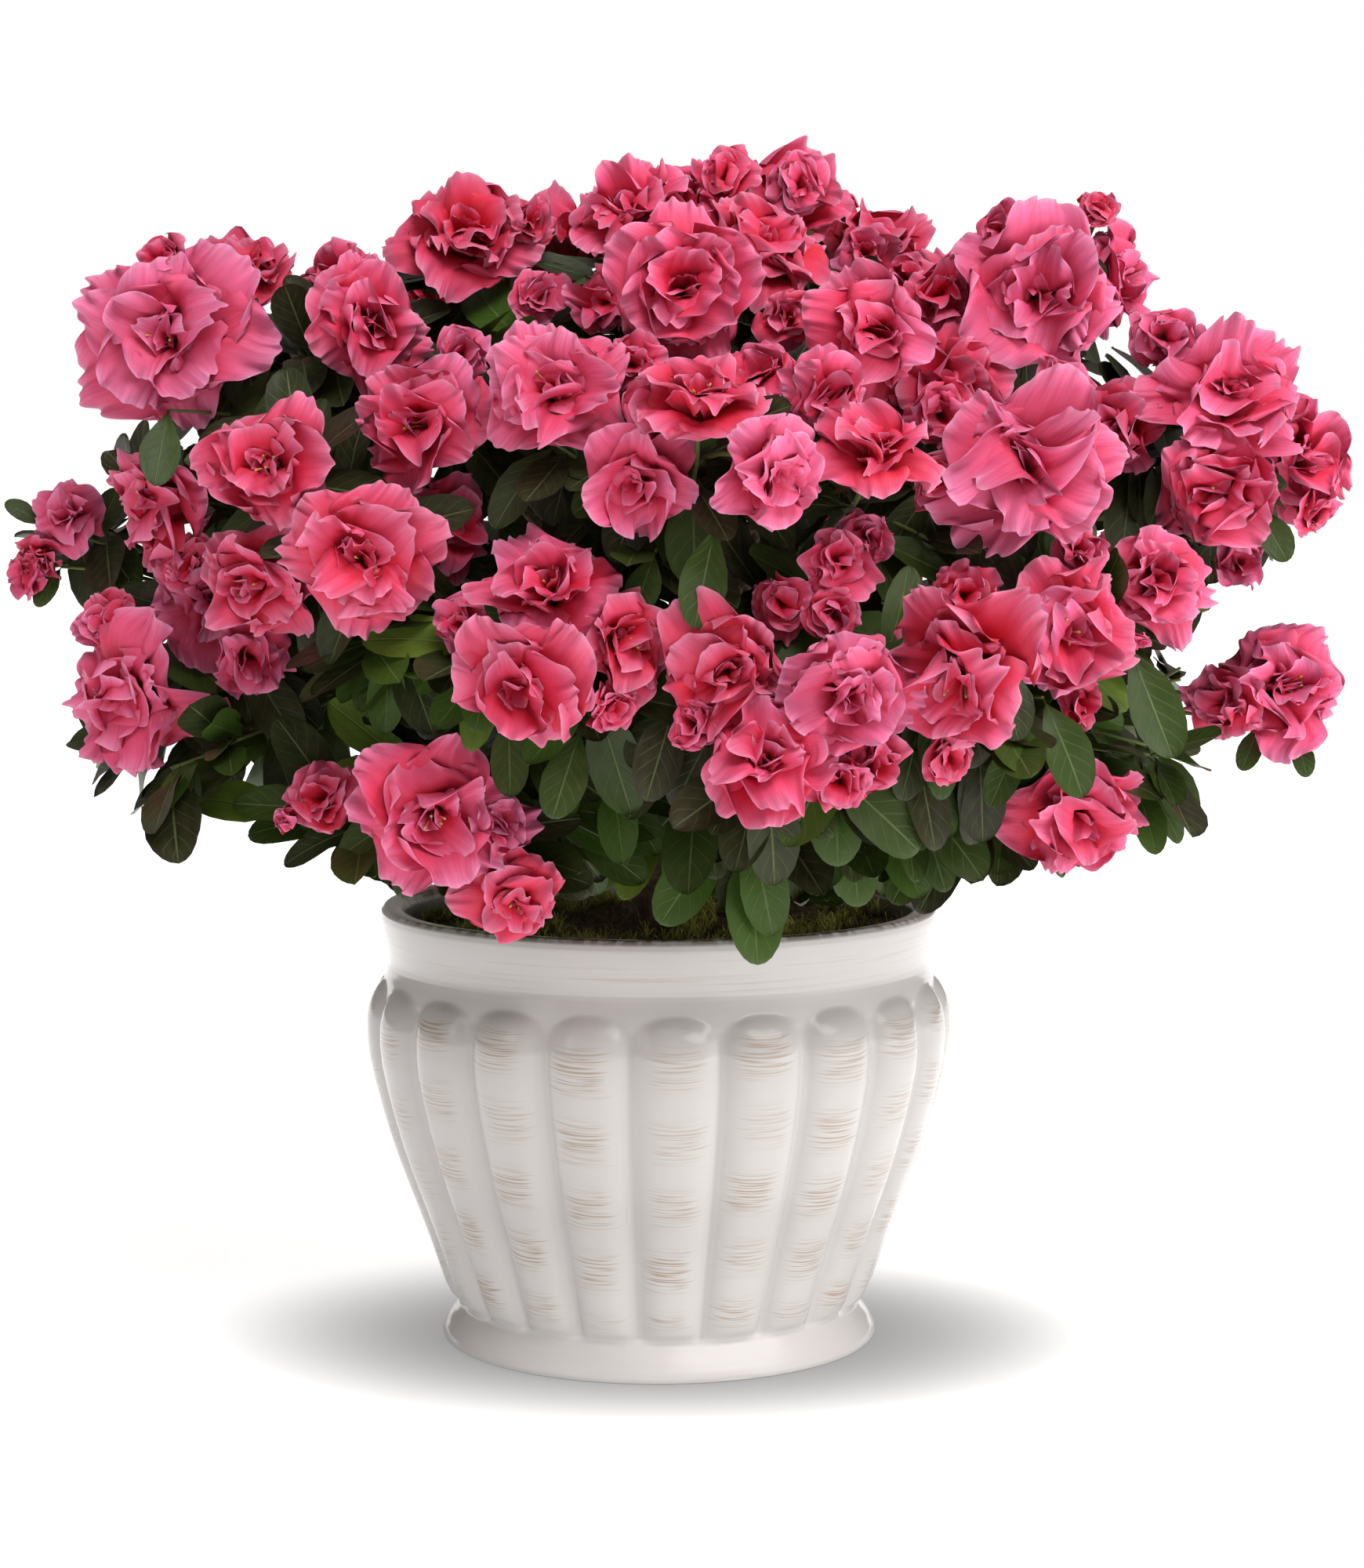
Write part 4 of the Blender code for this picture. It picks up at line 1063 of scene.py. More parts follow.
# ---- root ball -----------------------------------------------------------------------------------
@dataclass
class RootBall:
    """The mossy potting mix: a lumpy top inside the rim, with moss tufts and loose fibres on it."""

    reach: float = 79.2 * MM
    foot: float = 122 * MM
    middle: float = 134.0 * MM
    edge: float = 131.5 * MM
    lump: float = 2.2 * MM
    rings: int = 50
    columns: int = 150
    tufts: int = 1500
    fibres: int = 420
    kinds: int = 4  # of tuft, and of fibre
    bare: float = -0.02  # the noise under which no moss grows
    seed: int = 5

    def height(self, x: float, y: float) -> float:
        """The height of the lumpy top."""
        out = math.hypot(x, y) / self.reach
        at = Vector((x, y, 0.31)) * 60
        lumps = noise.noise(at) + 0.5 * noise.noise(at * 2.7) + 0.3 * noise.noise(at * 7.1)
        fade = 1 - smooth_step(0.93, 1.0, np.array(out)).item()
        return self.middle + (self.edge - self.middle) * out + self.lump * lumps * fade

    def soil(self) -> bpy.types.Mesh:
        """The lumpy top with a short skirt, closed underneath."""
        out = np.linspace(0, 1, self.rings) ** 0.8 * self.reach
        angle = np.linspace(0, math.tau, self.columns, endpoint=False)
        grid = np.empty((self.rings + 2, self.columns, 3))
        for row, radius in enumerate(out):
            for column, a in enumerate(angle):
                x, y = radius * math.sin(a), radius * math.cos(a)
                grid[row, column] = (x, y, self.height(x, y))
        grid[-2] = grid[-3]
        grid[-2, :, 2] = self.foot
        grid[-1] = (0, 0, self.foot)
        around, along = np.meshgrid(
            np.linspace(0, 1, self.columns + 1), np.linspace(0, 1, self.rings + 2)
        )
        book = PatchBook()
        book.add(grid, np.stack([around, along], -1), wrap=True)
        mesh = book.mesh("soil", weld=True)
        mend(mesh, weld=False)
        return mesh

    def strand(
        self, dice: random.Random, length: float, width: float, curl: float, lean: float
    ) -> tuple[np.ndarray, np.ndarray]:
        """A thin curved blade that stands on the origin.

        Args:
            dice: What its bearing is drawn from.
            length: How long it is.
            width: How wide it is at its foot.
            curl: How far its tip leans over, in radians.
            lean: How far its foot leans.

        Returns:
            The grid of its points and their places.
        """
        bearing = dice.uniform(0, math.tau)
        out = Vector((math.cos(bearing), math.sin(bearing), 0))
        side = Vector((-out.y, out.x, 0))
        at, rows = Vector(), []
        for k in range(4):
            share = k / 3
            half = width * (1 - 0.8 * share) / 2
            rows.append([at - side * half, at + side * half])
            angle = lean + curl * share
            at = at + (UP * math.cos(angle) + out * math.sin(angle)) * length / 3
        along, across = np.meshgrid(np.linspace(0, 1, 4), (0.0, 1.0), indexing="ij")
        return np.array(rows), np.stack([across, along], -1)

    def tuft(self, k: int, blades: int, length: float, width: float, curl: float) -> bpy.types.Mesh:
        """A small tuft of blades, one of a few that are scattered."""
        dice = random.Random(100 * self.seed + k)
        book = PatchBook()
        for _ in range(blades):
            size = dice.uniform(0.6, 1.1)
            bent, lean = dice.uniform(0.3, 1) * curl, dice.uniform(0, 0.9)
            book.add(*self.strand(dice, length * size, width, bent, lean))
        return book.mesh(f"tuft_{k}")

    def points_on(self, count: int, patchy: float, seed: int) -> list[dict]:
        """Places on the soil for small things, thicker in patches.

        Args:
            count: How many places are tried.
            patchy: The noise level under which a place is left bare.
            seed: The seed of the draw.

        Returns:
            The scattered points.
        """
        dice = random.Random(seed)
        points = []
        for _ in range(count):
            out, a = math.sqrt(dice.random()) * 0.985 * self.reach, dice.uniform(0, math.tau)
            x, y = out * math.sin(a), out * math.cos(a)
            if noise.noise(Vector((x, y, 0.7)) * 45) < patchy:
                continue
            turn = (dice.uniform(-0.3, 0.3), dice.uniform(-0.3, 0.3), dice.uniform(0, math.tau))
            place = Vector((x, y, self.height(x, y) - 0.3 * MM))
            points.append(point(place, turn, dice.uniform(0.6, 1.25), dice.randrange(self.kinds), 0))
        return points

    def build(self) -> None:
        """Makes the soil, its moss and its fibres."""
        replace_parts(show("potting_mix", self.soil(), SOIL.make()), "root_ball")
        moss = [
            self.tuft(k, blades=9, length=6.4 * MM, width=0.6 * MM, curl=1.4) for k in range(self.kinds)
        ]
        places = self.points_on(self.tufts, self.bare, self.seed)
        show("moss", scatter("moss", places, moss, MOSS.make(), 1), None)
        strands = [
            self.tuft(10 + k, blades=3, length=8 * MM, width=0.45 * MM, curl=2.0)
            for k in range(self.kinds)
        ]
        places = self.points_on(self.fibres, -1, self.seed + 1)
        show("fibres", scatter("fibres", places, strands, FIBRE.make(), 1), None)


# ---- scattering by Geometry Nodes ----------------------------------------------------------------
def point(place: Vector, turn: tuple, size: float, shape: int, strip: int) -> dict:
    """One place for a scattered shape: its turn as Euler angles, its size, its shape and its tint."""
    return {"place": place, "turn": turn, "size": size, "shape": shape, "strip": strip}


def scatter_tree() -> bpy.types.NodeTree:
    """The node tree that sets a shape on each point, and moves its surface map to its tint's strip."""
    kinds = {"Shapes": "Collection", "Strips": "Float", "Finish": "Material"}
    graph, given = node_group("Scatter", kinds)

    def attribute(name: str, data_type: str) -> Term:
        """A named attribute of the points."""
        return graph.term("GeometryNodeInputNamedAttribute", {"Name": name}, data_type=data_type)

    inputs = {"Collection": given["Shapes"], "Separate Children": True, "Reset Children": True}
    size = attribute("size", "FLOAT")
    placed = graph.term("GeometryNodeInstanceOnPoints", {
        "Points": given["Geometry"],
        "Instance": graph.term("GeometryNodeCollectionInfo", inputs),
        "Pick Instance": True,
        "Instance Index": attribute("shape", "INT"),
        "Rotation": graph.term("FunctionNodeEulerToRotation", {0: attribute("turn", "FLOAT_VECTOR")}),
        "Scale": graph.vector(size, size, size),
    })
    realized = graph.term("GeometryNodeRealizeInstances", {0: placed})
    across, along, _ = graph.parts(attribute(SURFACE_MAP, "FLOAT_VECTOR"))
    strip = (across + attribute("strip", "FLOAT")) / given["Strips"]
    inputs = {"Geometry": realized, "Name": SURFACE_MAP}
    stored = graph.node("GeometryNodeStoreNamedAttribute", inputs, data_type="FLOAT2", domain="CORNER")
    value = next(s for s in stored.inputs if s.name == "Value" and s.enabled)
    graph.put(graph.vector(strip, along), value)
    inputs = {"Geometry": stored.outputs[0], "Material": given["Finish"]}
    graph.node("NodeGroupOutput", {0: graph.term("GeometryNodeSetMaterial", inputs)})
    return graph.tree


def scatter(
    name: str, points: list[dict], shapes: list[bpy.types.Mesh], finish: bpy.types.Material, strips: int
) -> bpy.types.Mesh:
    """Sets shapes on points with the scatter tree and returns the plain mesh.

    Args:
        name: What is scattered.
        points: Where, from point().
        shapes: The meshes to choose from.
        finish: The material of all of them.
        strips: How many tints the finish has.

    Returns:
        The joined mesh.
    """
    base = bpy.data.meshes.new(name)
    base.vertices.add(len(points))
    base.vertices.foreach_set("co", np.array([p["place"] for p in points], np.float32).ravel())
    turns = base.attributes.new("turn", "FLOAT_VECTOR", "POINT")
    turns.data.foreach_set("vector", np.array([p["turn"] for p in points], np.float32).ravel())
    for key, kind in (("size", "FLOAT"), ("shape", "INT"), ("strip", "FLOAT")):
        base.attributes.new(key, kind, "POINT").data.foreach_set("value", [p[key] for p in points])
    holder = bpy.data.collections.new(f"{name}_shapes")
    for k, mesh in enumerate(shapes):
        holder.objects.link(bpy.data.objects.new(f"{name}_shape_{k:02d}", mesh))
    values = {"Shapes": holder, "Strips": float(strips), "Finish": finish}
    made = grown(base, scatter_tree(), values)
    for held in list(holder.objects):
        bpy.data.objects.remove(held)
    bpy.data.collections.remove(holder)
    return made


# ---- wood ----------------------------------------------------------------------------------------
@dataclass
class Wood:
    """The bark of the trunk, the limbs and the boughs, as one grown skin."""

    sprays: list[Spray]
    voxel: float = 1.25 * MM
    smoothing: int = 4
    relief: float = 0.45 * MM
    ridges: tuple = (380, 380, 90)  # to the metre, closer round the wood than along it

    def nodes(self) -> list[str]:
        """The solids that the bark stands for."""
        return [*TRUNK_AND_LIMBS, *(f"bough_{one.name}" for one in self.sprays)]

    def build(self) -> None:
        """Joins copies of the solids, remeshes them into one skin and gives it ridges."""
        shell = bmesh.new()
        for name in self.nodes():
            shell.from_mesh(frame["nodes"][name].data)
        base = bpy.data.meshes.new("wood")
        bmesh.ops.remove_doubles(shell, verts=shell.verts, dist=WELD_DISTANCE)
        shell.to_mesh(base)
        shell.free()
        holder = add_object("wood_holder", base)
        remesh = holder.modifiers.new("Skin", "REMESH")
        remesh.mode = "VOXEL"
        remesh.voxel_size = self.voxel
        smooth = holder.modifiers.new("Smooth", "SMOOTH")
        smooth.iterations = self.smoothing
        mesh = modified(holder)
        mesh.materials.clear()
        count = len(mesh.vertices)
        places, normals = np.empty(count * 3, np.float32), np.empty(count * 3, np.float32)
        mesh.vertices.foreach_get("co", places)
        mesh.vertices.foreach_get("normal", normals)
        places, normals = places.reshape(-1, 3), normals.reshape(-1, 3)
        ridge = np.array([noise.noise(Vector(at)) for at in places * np.array(self.ridges)])
        places += normals * (ridge * self.relief)[:, None]
        mesh.vertices.foreach_set("co", places.ravel())
        mesh.shade_smooth()
        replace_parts(show("bark", mesh, BARK.make()), *self.nodes())


# ---- flowers -------------------------------------------------------------------------------------
@dataclass(frozen=True)
class PetalRing:
    """One whorl of petals. Lengths are shares of the flower's width."""

    count: tuple  # fewest and most
    line: tuple  # (out, up) of four control points, from the neck to the rim
    half_width: float
    cup: float
    ruffle: float
    crimp: float
    wild: float  # how much the petals differ from each other
    rows: int
    columns: int
    narrow: float = 0.14  # the share of its width that a petal has at its foot
    round_off: float = 0.46  # how far its rim falls back at the sides

    def petal(
        self, bearing: float, opening: float, fineness: float, dice: np.random.Generator
    ) -> tuple[np.ndarray, np.ndarray]:
        """One petal, in the flower's own axes with Z along its facing.

        Args:
            bearing: Which way it points, in radians.
            opening: From 0, shut, to 1, wide open.
            fineness: The share of its columns that it is drawn with.
            dice: The draw of its shape.

        Returns:
            The grid of its points, and their places across and along it from 0 to 1.
        """
        rows = 1 - (1 - np.linspace(0, 1, self.rows)) ** 1.35  # closer together towards the rim
        columns = max(11, round(self.columns * fineness))
        calm = min(1.0, columns / 42)  # a petal of few columns takes wider and lower frills
        v, u = np.meshgrid(rows, np.linspace(-1, 1, columns), indexing="ij")
        angle = np.arctan2(u * 0.9, v - 0.28)
        edge = np.clip(np.sqrt(0.9 * u ** 2 + np.clip((v - 0.25) / 0.75, 0, 1) ** 2), 0, 1)
        edge = edge * smooth_step(0.12, 0.5, v)

        # the outline, with its notches
        phase = dice.uniform(0, math.tau, 8)
        top = smooth_step(0.35, 0.8, v)
        notch = 0.7 * np.sin(angle * dice.uniform(3, 5) + phase[0])
        scallop = np.abs(np.sin(angle * dice.uniform(6.5, 9) * calm + phase[1])) - 0.6
        notch += 1.3 * calm * top * scallop
        along = v - self.round_off * (0.5 * u ** 2 + 0.5 * u ** 6) * v ** 2 + 0.014 * notch * edge ** 8
        width = self.half_width * dice.uniform(1 - 0.2 * self.wild, 1 + 0.15 * self.wild)
        swell = self.narrow + (1 - self.narrow) * smooth_step(0.02, 0.68, v)
        tuck = 1 - 0.2 * smooth_step(0.7, 1.05, v)
        lateral = u * width * swell * tuck * (1 + 0.015 * notch * edge ** 8)
        out, up, slope_out, slope_up = self.midline(along, opening, dice)

        # the cup, the ruffles, the crimped rim and the creases
        lift = self.cup * lateral ** 2 / max(width, 1e-6)
        lift += (
            dice.normal(0.03, 0.10 * self.wild) * lateral
            + dice.uniform(-0.16, 0.10) * np.abs(lateral) * v
        )
        lift += 0.010 * np.sin(u * dice.uniform(5, 8) + phase[6]) * smooth_step(0.15, 0.6, v)
        coarse = np.sin(angle * dice.uniform(2.4, 4.2) + phase[2])
        coarse += 0.45 * np.sin(angle * dice.uniform(5.5, 8) + phase[3])
        lift += self.ruffle * edge ** 2.4 * coarse
        fine = np.sin(angle * dice.uniform(12, 16) * calm + phase[4])
        fine = top * (fine + 0.6 * np.sin(angle * dice.uniform(21, 27) * calm + phase[5]))
        lift += self.crimp * edge ** 6 * fine
        lift += dice.normal(-0.02, 0.04) * smooth_step(0.65, 1.0, v)
        crease = np.sin(angle * dice.uniform(6, 9) + 9 * v + phase[7])
        crease *= np.sin(11 * v + 5 * u + phase[0])
        lift += self.crimp * 0.45 * smooth_step(0.3, 0.75, v) * crease

        # the twist and the turn to its bearing
        twist = dice.normal(0, 0.35 * self.wild) * v
        cosine, sine = np.cos(twist), np.sin(twist)
        lateral, lift = lateral * cosine - lift * sine, lateral * sine + lift * cosine
        reach, rise = out - slope_up * lift, up + slope_out * lift
        lateral = lateral + dice.normal(0, 0.12) * out * v
        cosine, sine = math.cos(bearing), math.sin(bearing)
        grid = np.stack([reach * cosine - lateral * sine, reach * sine + lateral * cosine, rise], -1)
        return grid, np.stack([(u + 1) / 2, np.broadcast_to(v, u.shape)], -1)

    def midline(self, along: np.ndarray, opening: float, dice: np.random.Generator) -> tuple:
        """The petal's midline at each share of its length: out, up, and its unit direction."""
        line = np.array(self.line, float)
        line[2:] *= dice.uniform(1 - 0.22 * self.wild, 1 + 0.08 * self.wild)
        line[1:, 1] += dice.normal(0, 0.16 * self.wild) * line[1:, 0]
        line[2:] += dice.normal(0, 0.02 * self.wild, (2, 2))
        line[1:, 1] += (1 - opening) * 0.32 * line[1:, 0]
        line[:, 0] *= 0.3 + 0.7 * opening
        t = along[..., None]
        at = (
            line[0] * (1 - t) ** 3 + 3 * line[1] * t * (1 - t) ** 2
            + 3 * line[2] * t ** 2 * (1 - t) + line[3] * t ** 3
        )
        legs = np.diff(line, axis=0)
        slope = legs[0] * (1 - t) ** 2 + 2 * legs[1] * t * (1 - t) + legs[2] * t ** 2
        slope /= np.linalg.norm(slope, axis=-1, keepdims=True)
        return at[..., 0], at[..., 1], slope[..., 0], slope[..., 1]


OUTER = PetalRing(
    count=(5, 6), line=((0.03, -0.30), (0.08, 0.0), (0.32, 0.05), (0.55, -0.04)),
    half_width=0.31, cup=0.10, ruffle=0.036, crimp=0.024, wild=0.75, rows=9, columns=47,
)
MIDDLE = PetalRing(
    count=(4, 5), line=((0.03, -0.28), (0.05, 0.03), (0.17, 0.15), (0.40, 0.16)),
    half_width=0.27, cup=0.26, ruffle=0.048, crimp=0.024, wild=0.9, rows=9, columns=39,
)
INNER = PetalRing(
    count=(3, 4), line=((0.015, -0.24), (0.03, 0.04), (0.09, 0.19), (0.24, 0.25)),
    half_width=0.19, cup=0.40, ruffle=0.042, crimp=0.020, wild=1.0, rows=8, columns=27,
)
HEART = PetalRing(
    count=(3, 4), line=((0.0, -0.2), (0.01, 0.02), (0.035, 0.12), (0.10, 0.185)),
    half_width=0.10, cup=0.8, ruffle=0.026, crimp=0.014, wild=1.1, rows=6, columns=15,
)
WHORLS = {
    Form.OPEN: (OUTER, MIDDLE, INNER, HEART),
    Form.CUPPED: (OUTER, MIDDLE, INNER),
    Form.BUD: (MIDDLE, INNER),
}
OPENINGS = {Form.OPEN: (0.84, 1.04), Form.CUPPED: (0.55, 0.8), Form.BUD: (0.12, 0.3)}


@dataclass
class Flowers:
    """All the petals, joined in pieces, and the stamens in the open flowers."""

    blooms: list[Bloom]
    tints: int = 6
    per_piece: int = 26
    swell: float = 1.06  # the ruffled petals reach a little past the flower's plain width
    crumple: float = 0.022
    odd_petals: float = 0.25  # the share of petals that take the next tint
    stamens: int = 4
    with_stamens: float = 0.45  # the share of open flowers that show them
    filament_radii: tuple = (0.28 * MM,) * 5 + (0.2 * MM,)
    anther_radii: tuple = (0.3 * MM, 0.45 * MM, 0.3 * MM)
    seed: int = 11

    def axes(self, bloom: Bloom, spin: float) -> np.ndarray:
        """The rotation that turns a flower's own axes to its facing."""
        first, second = side_axes(bloom.facing())
        turned = swung(first, second, spin)
        return np.array(Matrix((turned, bloom.facing().cross(turned), bloom.facing())).transposed())

    def petals(self, bloom: Bloom, number: int, book: PatchBook) -> None:
        """Adds a flower's petals, each ruffled in its own way."""
        dice = np.random.default_rng(self.seed * 1000 + number)
        axes = self.axes(bloom, dice.uniform(0, math.tau))
        opening = dice.uniform(*OPENINGS[bloom.form()])
        waves = dice.normal(0, 1, (4, 3)) * 7.0
        pushes = dice.normal(0, 1, (4, 3)) * self.crumple
        start, tint = dice.uniform(0, math.tau), int(dice.integers(0, self.tints))
        lopsided, toward = dice.uniform(0, 0.16), dice.uniform(0, math.tau)
        for ring in WHORLS[bloom.form()]:
            count = int(dice.integers(ring.count[0], ring.count[1] + 1))
            start += math.pi / count
            for i in range(count):
                bearing = start + math.tau * i / count + dice.normal(0, 0.12 * ring.wild)
                lean = opening - lopsided * (1 + math.cos(bearing - toward))
                grid, places = ring.petal(bearing, lean, min(1.0, bloom.width / 50), dice)
                wobble = sum(
                    np.sin(grid @ wave + 3 * j)[..., None] * push
                    for j, (wave, push) in enumerate(zip(waves, pushes))
                )
                grid = grid + wobble * smooth_step(-0.2, 0.05, grid[..., 2:])
                strip = (tint + int(dice.random() < self.odd_petals)) % self.tints
                across = (places[..., 0] * INSIDE_STRIP + STRIP_EDGE + strip) / self.tints
                grid = grid @ axes.T * bloom.width * self.swell * MM + np.array(bloom.place())
                book.add(grid, np.stack([across, places[..., 1]], -1))

    def threads(self, bloom: Bloom, number: int, filaments: PatchBook, anthers: PatchBook) -> None:
        """Adds a flower's stamens, curved out of its throat."""
        dice = np.random.default_rng(self.seed * 2000 + number)
        axes = Matrix(self.axes(bloom, dice.uniform(0, math.tau)).tolist())
        for k in range(self.stamens):
            bearing = math.tau * k / self.stamens + dice.normal(0, 0.4)
            out = Vector((math.cos(bearing), math.sin(bearing), 0))
            length = dice.uniform(0.08, 0.20)
            top = out * dice.uniform(0.03, 0.12) + UP * length
            path = bend(Vector((0, 0, -0.2)), Vector((0, 0, 0.02)), top, len(self.filament_radii))
            path = [bloom.place() + axes @ at * bloom.width * MM for at in path]
            filaments.add(*tube_grid(path, self.filament_radii, 5), wrap=True)
            tip = (path[-1] - path[-2]).normalized() * 0.8 * MM
            grain_path = [path[-1] - tip * 0.5, path[-1], path[-1] + tip]
            anthers.add(*tube_grid(grain_path, self.anther_radii, 6), wrap=True)

    def build(self) -> list[bpy.types.Object]:
        """Makes the petals and the stamens.

        Returns:
            The pieces of petals.
        """
        finish, pieces = Petal(self.tints).make(), []
        for start in range(0, len(self.blooms), self.per_piece):
            book = PatchBook()
            for number, bloom in enumerate(self.blooms[start : start + self.per_piece], start):
                self.petals(bloom, number, book)
            name = f"petals_{start // self.per_piece + 1}"
            pieces.append(show(name, book.mesh(name), finish))
        filaments, anthers = PatchBook(), PatchBook()
        for number, bloom in enumerate(self.blooms):
            if bloom.form() is Form.OPEN and (number * 0.618) % 1 < self.with_stamens:
                self.threads(bloom, number, filaments, anthers)
        show("filaments", filaments.mesh("filaments", weld=True), STAMEN.make())
        show("anthers", anthers.mesh("anthers", weld=True), ANTHER.make())
        return pieces


# ---- twigs and leaves ----------------------------------------------------------------------------
BLADE_FACES = [(0, 1, 2), (0, 2, 3)]  # of the four corners that stand for a leaf


@dataclass
class Foliage:
    """The twigs that grow on from each bough, and the leaves on them."""

    sprays: list[Spray]
    stem_radii: tuple = (1.7 * MM, 1.7 * MM, 2.3 * MM, 1.5 * MM)  # from the bough through the knot
    twig_radii: tuple = (1.15 * MM, 0.8 * MM)
    shoot_radii: tuple = (1.0 * MM, 0.5 * MM)
    shoot_points: int = 6
    leaf_length: tuple = (26 * MM, 39 * MM)
    leaf_shapes: int = 6
    pitch: float = 1.6  # from leaf to leaf down a twig, in millimetres
    shorter: float = 0.03  # each next leaf, as a share
    under_bloom: int = 5
    on_twig: int = 3
    on_shoot: int = 7
    leans: tuple = (1.2, 1.0, 0.95)  # of the leaves under a bloom, on its twig and on a shoot
    more_shoots: int = 3
    side_shoots: int = 5
    shoot_length: tuple = (26, 44)  # in millimetres, as the next
    side_length: tuple = (20, 46)
    young: float = 0.12  # the share of shoots that are yellow-green
    young_tones: tuple = (3, 4, 4)
    tones_at: tuple = (  # above which height, in metres, leaves take which greens
        (250 * MM, (0, 0, 0, 1, 1, 2)), (200 * MM, (0, 0, 1, 1, 2, 3)), (0.0, (0, 1, 2, 2, 2, 3)),
    )
    heavy: float = 190 * MM  # under this height leaves hang more
    low: float = 235 * MM  # sprays that fork lower grow side shoots too
    tries: int = 7
    neck: float = 0.3
    lens: tuple = (0.47, -0.16, 0.60)  # a flower's own room: radius, and how far behind and in front
    clearing: float = 7 * MM  # how much farther in front
    rim: tuple = (70 * MM, 91 * MM)  # the ring over the planter's rim that leaves keep off
    rim_top: float = 141 * MM
    skirt: tuple = (  # how low the leaves reach at each place across, in millimetres
        (-215, 225), (-186, 190), (-172, 177), (-157, 170), (-142, 166), (-130, 160), (-116, 166),
        (-100, 162), (-84, 160), (-78, 153), (80, 149), (110, 159), (135, 160), (166, 164), (172, 200),
        (215, 200),
    )
    flanks: tuple = (  # how far left and right the leaves reach at each height, in millimetres
        (150, -135, 148), (165, -172, 164), (178, -178, 168), (190, -184, 166), (200, -184, 172),
        (216, -182, 172), (228, -176, 166), (236, -174, 172), (244, -192, 184), (254, -208, 205),
        (264, -206, 214), (271, -174, 214), (300, -174, 212), (330, -168, 168), (360, -120, 130),
        (390, -60, 90),
    )
    dome: tuple = (  # how high the leaves reach at each place across, in millimetres
        (-215, 290), (-150, 335), (-60, 352), (0, 364), (55, 364), (80, 345), (120, 348), (150, 335),
        (180, 312), (215, 295),
    )
    leeway: tuple = (8 * MM, 6 * MM, 5 * MM)  # how far past the solids' box leaves may reach
    light: Vector = field(default_factory=lambda: Vector((0, -0.55, 0.9)))  # that the leaves turn to
    front: Vector = field(default_factory=lambda: Vector((0.1, -1, 0.5)))  # that hanging leaves face
    kite: float = 0.2  # the half width of a leaf's rough shape, as a share of its length
    hanging_kite: float = 0.22
    berth: float = 2 * MM  # how far before and behind a hanging leaf others keep clear

    def __post_init__(self) -> None:
        """Prepares the rooms of the flowers and the lists that the plant grows into."""
        blooms = [bloom for one in self.sprays for bloom in one.all_blooms()]
        self.middles = np.array([bloom.place() for bloom in blooms])
        self.facings = np.array([bloom.facing() for bloom in blooms])
        self.widths = np.array([bloom.width for bloom in blooms]) * MM
        self.twigs = PatchBook()
        self.leaves: list[dict] = []
        self.blades: list[tuple[Vector, BVHTree]] = []
        low, high = CAD_BOX
        self.box = (np.array(low) - self.leeway, np.array(high) + self.leeway)

    def bough(self, one: Spray) -> list[Vector]:
        """Points down a spray's bough from its tip: the middles of its rings of five vertices."""
        places = np.array([v.co for v in frame["nodes"][f"bough_{one.name}"].data.vertices])
        places = np.unique(np.round(places, 6), axis=0)
        order = np.argsort(np.linalg.norm(places - np.array(one.fork()), axis=1))
        rings = [order[k : k + 5] for k in range(0, len(order) - 4, 5)]
        return [Vector(places[ring].mean(axis=0)) for ring in rings]

    def clear(self, points: np.ndarray) -> bool:
        """Whether points keep out of the flowers and the planter, and inside the plant's size."""
        if (points < self.box[0]).any() or (points > self.box[1]).any():
            return False
        out = np.hypot(points[:, 0], points[:, 1])
        inner, outer = self.rim
        if ((points[:, 2] < self.rim_top) & (out < outer) & (out > inner)).any():
            return False
        across, height = points[:, 0] / MM, points[:, 2]
        lowest, highest = (np.interp(across, *zip(*line)) * MM for line in (self.skirt, self.dome))
        if (height < lowest).any() or (height > highest).any():
            return False
        heights, *sides = zip(*self.flanks)
        left, right = (np.interp(height / MM, heights, side) for side in sides)
        if (across < left).any() or (across > right).any():
            return False
        apart = points[:, None] - self.middles
        deep = np.einsum("pbk,bk->pb", apart, self.facings)
        wide = np.sqrt(np.maximum((apart ** 2).sum(-1) - deep ** 2, 0))
        radius, behind, before = (share * self.widths for share in self.lens)
        return not ((wide < radius) & (deep > behind) & (deep < before + self.clearing)).any()

    def add_leaf(
        self, root: Vector, axes: tuple, length: float, strip: int, dice: random.Random
    ) -> None:
        """Adds a leaf that grows from its root, with its side, direction and face as its axes."""
        turn = Matrix(axes).transposed().to_euler()
        self.leaves.append(point(root, tuple(turn), length, dice.randrange(self.leaf_shapes), strip))

    def try_leaf(
        self, root: Vector, direction: Vector, face: Vector, length: float, strip: int,
        dice: random.Random,
    ) -> bool:
        """Adds a leaf if it has room among the flowers and the other leaves."""
        side = direction.cross(face).normalized() * length * self.kite
        spine = [root + direction * length * share for share in (0.25, 0.5, 0.75, 1.0)]
        sample = np.array([*spine, spine[1] - side, spine[1] + side])
        if not self.clear(sample):
            return False
        corners = [root + direction * length * 0.12, spine[1] - side, spine[3], spine[1] + side]
        blade = BVHTree.FromPolygons(corners, BLADE_FACES)
        for place, other in self.blades:
            if (place - spine[1]).length < length and blade.overlap(other):
                return False
        self.blades.append((spine[1], blade))
        self.add_leaf(root, (side.normalized(), direction, face), length, strip, dice)
        return True

